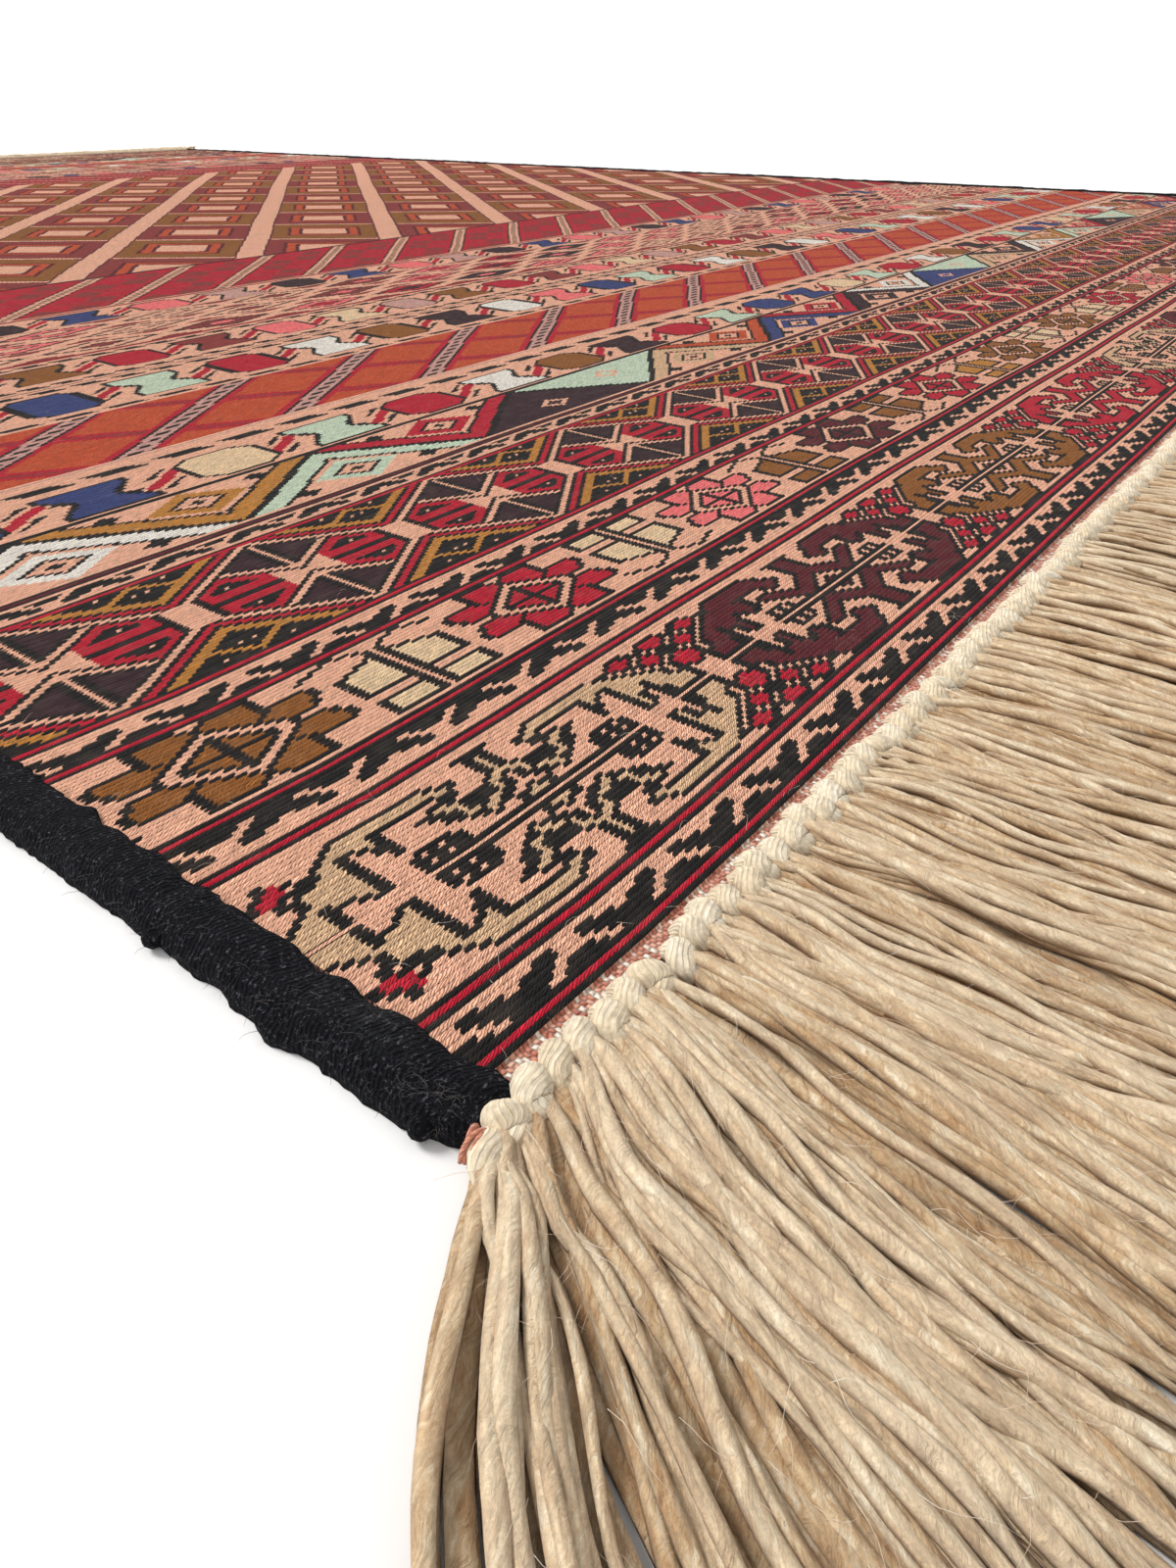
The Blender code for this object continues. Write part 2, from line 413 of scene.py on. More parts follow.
def lattice_band(rows, pitch, centre, lean, fills, rim, rail):
    """Diamonds between ladders, which lean so many stitches over the band, and lines across."""
    x = ((columns + 0.5 - centre) / pitch)[None, :]
    y = ((np.arange(rows) + 0.5) / rows - 0.5)[:, None] * lean / pitch
    from_ladder = np.abs((x - y + 0.5) % 1 - 0.5) * pitch
    from_line = np.abs((x + y) % 1 - 0.5) * pitch
    which = (np.floor(x - y + 0.5) + np.floor(x + y)) % 2
    inner = np.where(which == 0, CODE[fills[0]], CODE[fills[1]])
    rung = ((np.arange(rows) // 2) % 2 == 0)[:, None]
    bands = [(from_ladder < 1.4) & rung, from_ladder < 3.4, from_ladder < 4.3,
             from_ladder < 4.3 + rim, from_line < 1.2, from_line < 1.2 + rim]
    return choose(bands, ("#", rail, "#", "r", "d", "r"), inner)


def diamond_band(rows, pitch, centre, colours, step):
    """Several rows of nested diamonds on peach, in changing colours."""
    out = np.zeros((rows, STITCHES), int)
    y = np.arange(rows)
    tier = y // step
    k = np.abs(y % step + 0.5 - step / 2)[:, None]
    for number in np.unique(tier):
        away, which = from_centre(centre + (number % 2) * pitch / 2, pitch)
        mine = tier == number
        size = (away[None, :] / pitch + k[mine] / step) * 2
        pick = which * 3 + number * 5
        outer, inner = in_turn(colours, pick)[None, :], in_turn(colours, pick + 3)[None, :]
        bands = [size < 0.30, size < 0.42, size < 0.78, size < 0.92, size > 1.5]
        out[mine] = np.select(bands, [inner, CODE["#"], outer, CODE["#"], CODE["d"]], CODE["."])
    return out


def field(rows, across=78, start=10, lean=0.84):
    """The middle of the rug: brown-red diamonds between broad peach slanting bars and narrow ones."""
    x = columns[None, :] - start
    y = np.arange(rows)[:, None] * lean * ROW_OVER_STITCH

    def from_line(place):
        return np.abs((place + across / 2) % across - across / 2) / (across / 2)

    broad, narrow = from_line(x - y), from_line(x + y)
    nest = np.minimum(broad, narrow)
    cell = np.floor((x - y) / across) + np.floor((x + y) / across)
    outer = np.where(cell % 2 == 0, CODE["d"], CODE["o"])
    bands = [broad < 0.17, broad < 0.20, narrow < 0.05, narrow < 0.08, nest > 0.66, nest > 0.60,
             nest > 0.48, nest > 0.43]
    return choose(bands, ".m.m.mtm", outer)


def half_pattern():
    """The bands from one end of the rug to its field."""
    bands = [
        stripes("#r#"), guard(13), stripes("#r#"),
        main_border(),
        stripes("..#r#."), guard(17, flipped=True), stripes("##r#."),
        rosette_border(),
        stripes("#r#"), guard(11), stripes(".#r#"),
        hexagon_band(),
        stripes("r#"), guard(9, flipped=True), stripes(".#m#."),
        triangle_band(),
        stripes("##"),
        motif_band(24, 25.3, 48.5, "ucarwonrau"),
        stripes(".."), dashes(14, rows=7), stripes("...p."),
        lattice_band(50, 39, 10.8, 48, "tt", 2.5, "p"),
        stripes("."), dashes(),
        motif_band(30, 24.8, 101, "arwonwsu"),
        stripes("."), dashes(10), stripes("#."), dashes(8), stripes("."),
        motif_band(26, 24, 40, "cpords"),
        stripes("."), dashes(9), stripes("#r#"),
        diamond_band(57, 38, 2, "s.rsdn.s", step=19),
        stripes("#"),
        motif_band(26, 27, 133, "uspn"),
        stripes(".#r#."),
        lattice_band(85, 38, 31.5, 62, "dr", 3.0, "."),
        stripes("#r#"),
    ]
    return np.concatenate(bands)


def whole_pattern():
    """Both ends alike, with the field between them."""
    half = half_pattern()
    return np.concatenate([half, field(ROWS - 2 * len(half)), half[::-1]])


# ---- Materials ----
def linear(rgb):
    """Linear colour from eight-bit sRGB."""
    share = [value / 255 for value in rgb]
    return tuple(v / 12.92 if v <= 0.04045 else ((v + 0.055) / 1.055) ** 2.4 for v in share) + (1.0,)


def operation(kind, swapped=False, more=()):
    """A method of Wire that adds a maths node of this kind."""
    def method(wire, other=None):
        pair = (other, wire) if swapped else (wire, other)
        return wire.graph.wire("ShaderNodeMath", enumerate(pair + more), operation=kind)
    return method


class Wire:
    """An output socket in a material's node graph. Sums with it add maths nodes."""

    def __init__(self, graph, socket):
        self.graph = graph
        self.socket = socket

    __add__ = __radd__ = operation("ADD")
    __mul__ = __rmul__ = operation("MULTIPLY")
    __sub__ = operation("SUBTRACT")
    __rsub__ = operation("SUBTRACT", swapped=True)
    __truediv__ = operation("DIVIDE")
    __mod__ = operation("MODULO")
    __rpow__ = operation("POWER", swapped=True)
    __gt__ = operation("GREATER_THAN")
    __lt__ = operation("LESS_THAN")
    floor = operation("FLOOR")
    fract = operation("FRACT")
    size = operation("ABSOLUTE")
    equals = operation("COMPARE", more=(0.1,))

    def scaled(self, low, high, to_low=0.0, to_high=1.0):
        """Moved from one range to another, and held inside it."""
        sockets = {"Value": self, "From Min": low, "From Max": high, "To Min": to_low,
                   "To Max": to_high}
        return self.graph.wire("ShaderNodeMapRange", sockets, "Result", clamp=True)


class Graph:
    """A material's node graph. Most methods add a node and give back a wire from it."""

    def __init__(self, name, **shader):
        self.material = bpy.data.materials.new(name)
        self.material.use_nodes = True
        self.tree = self.material.node_tree
        self.tree.nodes.clear()
        self.shader = self.tree.nodes.new("ShaderNodeBsdfPrincipled")
        output = self.tree.nodes.new("ShaderNodeOutputMaterial")
        self.tree.links.new(self.shader.outputs["BSDF"], output.inputs["Surface"])
        for socket, value in shader.items():
            self.shader.inputs[socket.replace("_", " ")].default_value = value

    def put(self, socket, value):
        """Links or sets a socket. Colours are eight-bit, and a place may hold wires."""
        if isinstance(value, tuple) and socket.type == "RGBA":
            value = linear(value)
        elif isinstance(value, tuple):
            value = self.wire("ShaderNodeCombineXYZ", enumerate(value))
        if isinstance(value, Wire):
            self.tree.links.new(value.socket, socket)
        elif value is not None:
            socket.default_value = value

    def node(self, kind, sockets=(), **settings):
        node = self.tree.nodes.new(kind)
        for key, value in settings.items():
            setattr(node, key, value)
        for key, value in dict(sockets).items():
            self.put(node.inputs[key], value)
        return node

    def wire(self, kind, sockets=(), output=0, **settings):
        return Wire(self, self.node(kind, sockets, **settings).outputs[output])

    def split(self, value, kind="ShaderNodeSeparateXYZ"):
        return [Wire(self, part) for part in self.node(kind, {0: value}).outputs]

    def uv(self, name):
        return self.wire("ShaderNodeUVMap", uv_map=name)

    def place(self):
        return self.wire("ShaderNodeTexCoord", output="Object")

    def attribute(self, name, output):
        return self.wire("ShaderNodeAttribute", output=output, attribute_name=name,
                         attribute_type="GEOMETRY")

    def noise(self, place, scale=1.0, detail=2.0, roughness=0.5):
        sockets = {"Vector": place, "Scale": scale, "Detail": detail, "Roughness": roughness}
        return self.wire("ShaderNodeTexNoise", sockets, "Fac")

    def white(self, place):
        return self.wire("ShaderNodeTexWhiteNoise", {"Vector": place}, "Value",
                         noise_dimensions="3D")

    def ramp(self, value, stops, interpolation="LINEAR"):
        node = self.node("ShaderNodeValToRGB", {0: value})
        node.color_ramp.interpolation = interpolation
        elements = node.color_ramp.elements
        for place, _ in stops[2:]:
            elements.new(place)
        for element, (place, colour) in zip(elements, stops):
            element.position = place
            element.color = linear(colour) if len(colour) == 3 else colour
        return Wire(self, node.outputs["Color"])

    def mix(self, share, a, b):
        return self.wire("ShaderNodeMix", {0: share, 6: a, 7: b}, 2, data_type="RGBA",
                         clamp_factor=True)

    def shade(self, colour, factor):
        """The colour made darker or lighter by a number."""
        return self.wire("ShaderNodeVectorMath", {0: colour, "Scale": factor}, operation="SCALE")

    def bump(self, height, distance):
        sockets = {"Strength": 1.0, "Distance": distance, "Height": height}
        self.put(self.shader.inputs["Normal"], self.wire("ShaderNodeBump", sockets))

    def finish(self, colour, roughness=None):
        self.put(self.shader.inputs["Base Color"], colour)
        self.put(self.shader.inputs["Roughness"], roughness)
        return self.material


def dome(fraction):
    """0 at both ends of a unit step and 1 in its middle."""
    centred = fraction * 2.0 - 1.0
    return 1.0 - centred * centred


EDGE_SLANT = 0.45            # stitches that a stitch's own edge leans over by across its row
SLANT = 1.2                  # and its strands
STRANDS = 2.0                # strands side by side in a stitch
BLACK_SPREAD = 0.24          # share of a stitch by which the thick black yarn covers its neighbour


def woven_wool():
    """The soumak cloth. Each face holds its stitches' palette numbers in its chart colour."""
    g = Graph("woven_wool", Roughness=0.9, Sheen_Weight=0.06, Sheen_Roughness=0.5,
              Sheen_Tint=(1.0, 0.93, 0.86, 1.0), Specular_IOR_Level=0.12)
    u, v, _ = g.split(g.uv("weave"))
    row = v.floor()
    up = v - row
    wobble = g.noise((u * 0.9, v * 0.8), 1.0, 1.0)
    leaning = 0.5 - up
    loose = g.noise((u * 1.1, v * 2.3, 11.0))
    across = u + leaning * EDGE_SLANT + (loose - 0.5) * 0.75
    stitch = across.floor()

    # The palette number of this stitch, and of the nearest one beside it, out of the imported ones
    channels = g.split(g.attribute("chart", "Color"), "ShaderNodeSeparateColor")
    channels.append(g.attribute("chart", "Alpha"))
    first = (u / BLOCK).floor() * BLOCK - 1.0

    def number_of(which):
        place = which - first
        channel = ((place + 0.25) / DIGITS).floor()
        digit = place - channel * DIGITS
        held = 0.0
        for index, source in enumerate(channels):
            held = held + source * channel.equals(index)
        shifted = held * BASE ** (digit + 1.0)
        return shifted.floor() % BASE

    within = across.fract()
    beside = (within > 0.5) * 2.0 - 1.0
    to_edge = 0.5 - (within - 0.5).size()
    number = number_of(stitch)
    spread = number_of(stitch + beside).equals(CODE["#"]) * (to_edge < dome(up) * BLACK_SPREAD)
    number = number + spread * (CODE["#"] - number)
    stops = [(i / BASE, rgb) for i, (_, rgb) in enumerate(PALETTE)]
    colour = g.ramp((number + 0.5) / BASE, stops, "CONSTANT")
    beside_thread = (up - 0.5).size() > 0.3
    beside_thread = beside_thread * number.equals(CODE["="])
    colour = g.mix(beside_thread, colour, dict(PALETTE)["#"])

    # Yarn tone: stitch by stitch, strand by strand, and slowly along the rug
    bend = g.noise((u * 2.2, v * 1.7, 3.0))
    strand = (u + leaning * SLANT + (wobble * 0.9 + bend * 0.45)) * STRANDS
    fraction = strand.fract()
    tone = g.white((stitch, row, 0.5))
    strand_tone = g.white((strand.floor(), row, 4.5))
    fibres = g.noise((strand * 3.0, v * 1.2), 1.0, 3.0, 0.65)
    slow = g.noise((u * 0.012, v * 0.05), 1.0, 3.0)
    light = tone * 0.22 + strand_tone * 0.42
    light = light + fibres.scaled(0.25, 0.75, 0.0, 0.6)
    light = light + slow * 0.16
    round_strand = dome(fraction)
    round_row = dome(up)
    # Painted shade: dark, broken lines between the rows, pits where two stitches draw apart, and each
    # strand darker at its sides than on its crown
    broken = g.noise((u * 0.7, v * 1.9, 17.0))
    between = round_row.scaled(0.0, 0.5, 1.0, 0.0) * broken.scaled(0.32, 0.62, 0.12, 0.78)
    pit = g.white((stitch, row, 9.5)) * (1.0 - to_edge * 2.0)
    pit = (pit * (1.15 - round_row)).scaled(0.38, 0.7, 0.0, 0.75)
    painted_groove_shade = round_strand.scaled(0.0, 0.6, 0.42, 1.0) * ((1.0 - between) * (1.0 - pit))
    is_black = number.equals(CODE["#"])
    colour = g.mix(is_black * fibres.scaled(0.58, 0.78, 0.0, 0.35), colour, (74, 72, 72))
    # The yarn's tone, times the painted shade in the grooves between rows and strands
    colour = g.shade(colour, (light + 0.73) * painted_groove_shade)
    dusty = g.noise((u * 0.3, v * 0.3, 7.0), 1.0, 3.0).scaled(0.45, 0.8, 0.0, 0.06)
    colour = g.mix(dusty, colour, (214, 190, 170))

    height = round_row * 0.42 + round_strand * 0.5
    height = height + (fibres * 0.42 + tone * 0.3)
    g.bump(height, 0.0012)
    return g.finish(colour, fibres.scaled(0.2, 0.8, 0.82, 0.97))


def woven_back():
    """The underside: the yarns' colours, run together between the cords of the warp."""
    g = Graph("woven_back", Roughness=0.95, Sheen_Weight=0.2, Specular_IOR_Level=0.2)
    u, v, _ = g.split(g.uv("weave"))
    tone = g.attribute("tone", "Color")
    ribs = dome((u * 1.0).fract())
    streaks = g.noise((u * 2.0, v * 0.7), 1.0, 3.0, 0.6)
    # Painted shade between the warp's ribs, darker than their crowns; the streaks are the yarn's own
    # uneven tone
    light = ribs.scaled(0.0, 0.7, 0.6, 1.0) * streaks.scaled(0.3, 0.7, 0.75, 1.2)
    g.bump(ribs * 0.6 + streaks * 0.4, 0.0006)
    return g.finish(g.shade(tone, light))


def plain_weave():
    """The narrow plain-woven strip at each end: close little beads of peach and cream yarn."""
    g = Graph("plain_weave", Roughness=0.92, Sheen_Weight=0.25, Specular_IOR_Level=0.25)
    u, v, _ = g.split(g.uv("weave"))
    wobble = g.noise((u * 0.8, v * 0.5))
    across = u * 2.3 + wobble * 1.4
    bead = across.floor()
    along = v * 0.95 + (bead % 2.0 * 0.5 + wobble)
    step = along.floor()
    tone = g.white((bead, step, 2.0))
    colour = g.ramp(tone, [(0.0, (176, 100, 78)), (0.45, (220, 142, 116)),
                           (0.74, (234, 178, 154)), (0.86, (246, 232, 216))])
    bulge = dome(across.fract()) * dome(along.fract())
    fibres = g.noise((u * 12.0, v * 2.0))
    # Painted shade round each bead's edges, lighter on its crown; the fibres vary its tone
    light = bulge.scaled(0.0, 0.7, 0.45, 1.05) * fibres.scaled(0.3, 0.7, 0.85, 1.12)
    g.bump(bulge * 0.7 + fibres * 0.25, 0.0007)
    return g.finish(g.shade(colour, light))


# ---- Meshes ----
def add_object(name, data):
    item = bpy.data.objects.new(name, data)
    bpy.context.scene.collection.objects.link(item)
    return item


def make_mesh(name, vertices, blocks, materials=(), face_material=None, smooth=False):
    """A mesh object from arrays. Each block of faces is an array with one face a row."""
    mesh = bpy.data.meshes.new(name)
    vertices = np.asarray(vertices, float)
    sizes = np.concatenate([np.full(len(block), block.shape[1]) for block in blocks])
    corners = np.concatenate([block.ravel() for block in blocks])
    mesh.vertices.add(len(vertices))
    mesh.vertices.foreach_set("co", vertices.ravel())
    mesh.loops.add(len(corners))
    mesh.loops.foreach_set("vertex_index", corners)
    mesh.polygons.add(len(sizes))
    mesh.polygons.foreach_set("loop_start", np.concatenate(([0], np.cumsum(sizes)[:-1])))
    mesh.polygons.foreach_set("loop_total", sizes)
    if face_material is not None:
        mesh.polygons.foreach_set("material_index", np.asarray(face_material))
    mesh.polygons.foreach_set("use_smooth", np.full(len(sizes), smooth))
    mesh.update(calc_edges=True)
    for material in materials:
        mesh.materials.append(material)
    return add_object(name, mesh)


def set_uv(item, name, values):
    """A UV map from one pair of values for each vertex."""
    loops = np.empty(len(item.data.loops), int)
    item.data.loops.foreach_get("vertex_index", loops)
    layer = item.data.uv_layers.new(name=name)
    layer.data.foreach_set("uv", np.asarray(values, float)[loops].ravel())


def grid_faces(rows, across, first=0):
    """Quads, facing +Z, over a grid of vertices laid row after row along +Y."""
    j, i = np.mgrid[0:rows - 1, 0:across - 1]
    a = first + j * across + i
    return np.stack([a, a + 1, a + across + 1, a + across], axis=-1).reshape(-1, 4)


def set_faces(item, name, values, kind="FLOAT", key="value"):
    """An attribute from one value, or one colour, for each face."""
    layer = item.data.attributes.new(name, kind, "FACE")
    layer.data.foreach_set(key, np.asarray(values, float).ravel())


def drift(x, y):
    """The slow, uneven pull of hand weaving: how far a stitch lies from its place, in metres."""
    fade = part_of(INNER_HALF_WIDTH - np.abs(x), 0.05) * part_of(HALF_LENGTH - np.abs(y), 0.03)
    dx = 0.0010 * np.sin(7.1 * x + 3.3 * np.sin(2.3 * y) + 1.0) + 0.0006 * np.sin(23 * y + 5 * x)
    dy = 0.0012 * np.sin(6.3 * x + 2.0 * np.sin(1.7 * y)) + 0.0005 * np.sin(31 * x + 9 * y + 2.0)
    return dx * fade, dy * fade


def build_cloth(pattern):
    """The cloth: one strip of faces for each woven row, a coarser back, and walls between them."""
    blocks = STITCHES // BLOCK
    across = blocks + 1
    share = np.linspace(-1, 1, across)
    # The plain strip is a step down, so its inner edge has a vertex row of its own
    strip_edge = HALF_PATTERN + STEP_DOWN
    top_y = np.concatenate([[-HALF_LENGTH, -strip_edge],
                            np.linspace(-HALF_PATTERN, HALF_PATTERN, ROWS + 1),
                            [strip_edge, HALF_LENGTH]])
    back_rows = np.linspace(-HALF_PATTERN, HALF_PATTERN, ROWS // BACK_ROWS + 1)
    back_y = np.concatenate([[-HALF_LENGTH], back_rows, [HALF_LENGTH]])

    def sheet_points(rows_y):
        x = share[None, :] * side_x(rows_y)[:, None]
        y = rows_y[:, None] * end_y(x) / HALF_LENGTH
        dx, dy = drift(x, y)
        return x + dx, y + dy

    x, y = sheet_points(top_y)
    ridge = np.zeros(len(top_y))
    ridge[2:-2] = np.where(np.arange(ROWS + 1) % 2 == 0, -ROW_RIDGE, 0.0)
    ripple = GROUND_RIPPLE * np.sin(9 * x + 4 * y) * np.sin(5 * y - 3 * x)
    z = GROUND_THICKNESS + ripple + ridge[:, None]
    z[[0, 1, -2, -1]] = END_STRIP_THICKNESS
    top = np.stack([x, y, z], axis=-1).reshape(-1, 3)
    bx, by = sheet_points(back_y)
    back = np.stack([bx, by, np.zeros_like(bx)], axis=-1).reshape(-1, 3)

    top_faces = grid_faces(len(top_y), across)
    back_faces = grid_faces(len(back_y), across, first=len(top))[:, ::-1]
    # Which top rows each back row spans
    marks = [0] + list(range(2, ROWS + 3, BACK_ROWS)) + [len(top_y) - 1]
    side_walls = {}
    for j in range(len(back_y) - 1):
        low, high = marks[j], marks[j + 1]
        b0 = len(top) + j * across
        b1 = b0 + across
        left = [b0, b1] + [row * across for row in range(high, low - 1, -1)]
        right = [b1 + blocks, b0 + blocks] + [row * across + blocks for row in range(low, high + 1)]
        side_walls.setdefault(len(left), []).extend([left[::-1], right[::-1]])
    end_walls = []
    last_top, last_back = (len(top_y) - 1) * across, len(top) + (len(back_y) - 1) * across
    for i in range(blocks):
        b = len(top) + i
        end_walls.append([b, b + 1, i + 1, i])
        e = last_back + i
        end_walls.append([e + 1, e, last_top + i, last_top + i + 1])
    walls = [np.array(some) for some in side_walls.values()] + [np.array(end_walls)]
    wall_count = sum(len(block) for block in walls)
    face_count = len(top_faces) + len(back_faces) + wall_count

    # Materials: 0 pattern, 1 plain weave, 2 back
    row_of_face = np.repeat(np.arange(len(top_y) - 1), blocks)
    plain = (row_of_face < 2) | (row_of_face >= len(top_y) - 3)
    kinds = np.concatenate([np.where(plain, 1, 0), np.full(len(back_faces), 2),
                            np.full(wall_count, 1)])
    item = make_mesh("woven_cloth", np.concatenate([top, back]), [top_faces, back_faces] + walls,
                     (woven_wool(), plain_weave(), woven_back()), kinds)

    def weave_uv(rows_y):
        """Stitches across, and rows along."""
        v = (rows_y + HALF_PATTERN) / (2 * HALF_PATTERN) * ROWS
        return np.stack([np.tile(np.arange(across) * BLOCK, len(v)), np.repeat(v, across)], axis=-1)

    set_uv(item, "weave", np.concatenate([weave_uv(top_y), weave_uv(back_y)]))

    # Pack each face's stitches, and one more on either side, as DIGITS a channel, in base BASE
    padded = np.pad(pattern, ((0, 0), (1, 1)), mode="edge")
    cells = np.stack([padded[:, i * BLOCK:i * BLOCK + BLOCK + 2] for i in range(blocks)], axis=1)
    digits = cells.reshape(ROWS, blocks, 4, DIGITS).astype(float)
    weights = float(BASE) ** -(np.arange(DIGITS) + 1)
    packed = (digits * weights).sum(axis=-1) + 0.5 * float(BASE) ** -DIGITS
    colours = np.zeros((face_count, 4))
    colours[2 * blocks:(2 + ROWS) * blocks] = packed.reshape(-1, 4)
    set_faces(item, "chart", colours, "FLOAT_COLOR", "color")

    # The back shows each patch's mean colour
    rgb = np.array([linear(rgb)[:3] for _, rgb in PALETTE])
    patches = rgb[pattern].reshape(ROWS // BACK_ROWS, BACK_ROWS, blocks, BLOCK, 3)
    patches = patches.mean(axis=(1, 3)).reshape(-1, 3)
    tones = np.ones((face_count, 4))
    tones[:, :3] = rgb[0]
    first = len(top_faces) + blocks
    tones[first:first + len(patches), :3] = patches
    set_faces(item, "tone", tones, "FLOAT_COLOR", "color")
    return item


# ---- Bindings ----
BINDING_STEP = 0.0018        # between two sections of a binding
BINDING_SIDES = 18           # points round one section
BINDING_ROUNDNESS = 0.62     # lower is boxier
# Joined-in yarn ends that stand out under the wrapping: places along Y, and their radius
BINDING_LUMPS = {-1: (-1.411, -1.4885, -1.16, -0.62, 0.35, 1.12),
                 1: (-1.27, -0.48, 0.21, 0.90, 1.38)}
LUMP_RADIUS = 0.0024
BINDING_OVERRUN = 0.0028     # it runs on beyond the cloth's end, to the corner knot
END_NARROWING = 0.20         # share of its width that it loses there
END_NARROWING_REACH = 0.012


def binding_swell(y):
    """How much of its greatest width or height the binding has at y."""
    slow = 0.5 + 0.5 * wave(y, 0.41, 0.9)
    lumps = np.maximum(0.0, wave(y, 0.113, 0.4)) ** 3
    from_end = (end_y(INNER_HALF_WIDTH) + BINDING_OVERRUN - np.abs(y)) / END_NARROWING_REACH
    return (0.86 + 0.06 * slow + 0.08 * lumps) * (1 - END_NARROWING * np.exp(-from_end ** 2))


def overcast_wool():
    """Navy-black wool wrapped over two cords, so that its strands meet in a soft chevron."""
    g = Graph("overcast_wool", Roughness=0.92, Sheen_Weight=0.035, Sheen_Roughness=0.5,
              Sheen_Tint=(0.75, 0.8, 1.0, 1.0), Specular_IOR_Level=0.10)
    across, along, _ = g.split(g.uv("wrap"))
    wander = g.noise((across * 2.5, along * 70.0), 1.0, 3.0)
    loose = g.noise((across * 9.0, along * 420.0))
    cord = (across * 2.0).floor()
    side = ((across * 2.0).fract() - 0.5).size()
    lean = (cord % 2.0 - 0.5) * 6.5
    wrap = along * 780.0 + (across * 2.0).fract() * lean
    wrap = wrap + (wander * 3.2 + loose * 0.9)
    tone = g.white((wrap.floor(), cord, 3.0))
    fibres = g.noise((wrap * 2.6, across * 16.0), 1.0, 4.0, 0.7)
    round_wrap = dome(wrap.fract())
    clumps = g.noise(g.place(), 330.0, 4.0, 0.65)
    rubbed = g.noise(g.place(), 34.0, 3.0).scaled(0.58, 0.7) * clumps.scaled(0.42, 0.62, 0.0, 0.22)
    fluff = g.noise(g.place(), 1000.0, 4.0, 0.75)
    light = tone * 0.3 + fibres.scaled(0.3, 0.75, 0.35, 0.95)
    # Painted shade between the wraps, and painted light on their crowns
    light = light * round_wrap.scaled(0.0, 0.7, 0.5, 1.15)
    light = light * clumps.scaled(0.35, 0.65, 0.45, 1.3)
    # Painted shade towards the edges of each cord: in the groove between the two cords and at the
    # inner and outer sides
    light = light * side.scaled(0.35, 0.5, 1.0, 0.85)
    base = g.ramp(fluff, [(0.40, (2, 2, 4)), (0.50, (7, 7, 11)),
                          (0.57, (27, 27, 33)), (0.64, (104, 103, 108))])
    base = g.mix(rubbed, base, (84, 85, 80))
    height = round_wrap * 0.45 + (fluff * 1.4 + clumps * 0.5)
    g.bump(height, 0.0016)
    return g.finish(g.shade(base, light), fluff.scaled(0.2, 0.8, 0.88, 0.99))


def blobs(centres, radius, rings=7, sides=10):
    """Closed balls, as tubes() gives them."""
    t = np.linspace(0.04, 0.96, rings)[None, :]
    centres = np.asarray(centres, float)[:, None, :] + 0 * t[..., None]
    centres[..., 1] -= radius * np.cos(math.pi * t)
    radii = np.repeat((radius * np.sin(math.pi * t) + 0 * centres[..., 0])[..., None], sides, axis=2)
    return tubes(centres, radii)


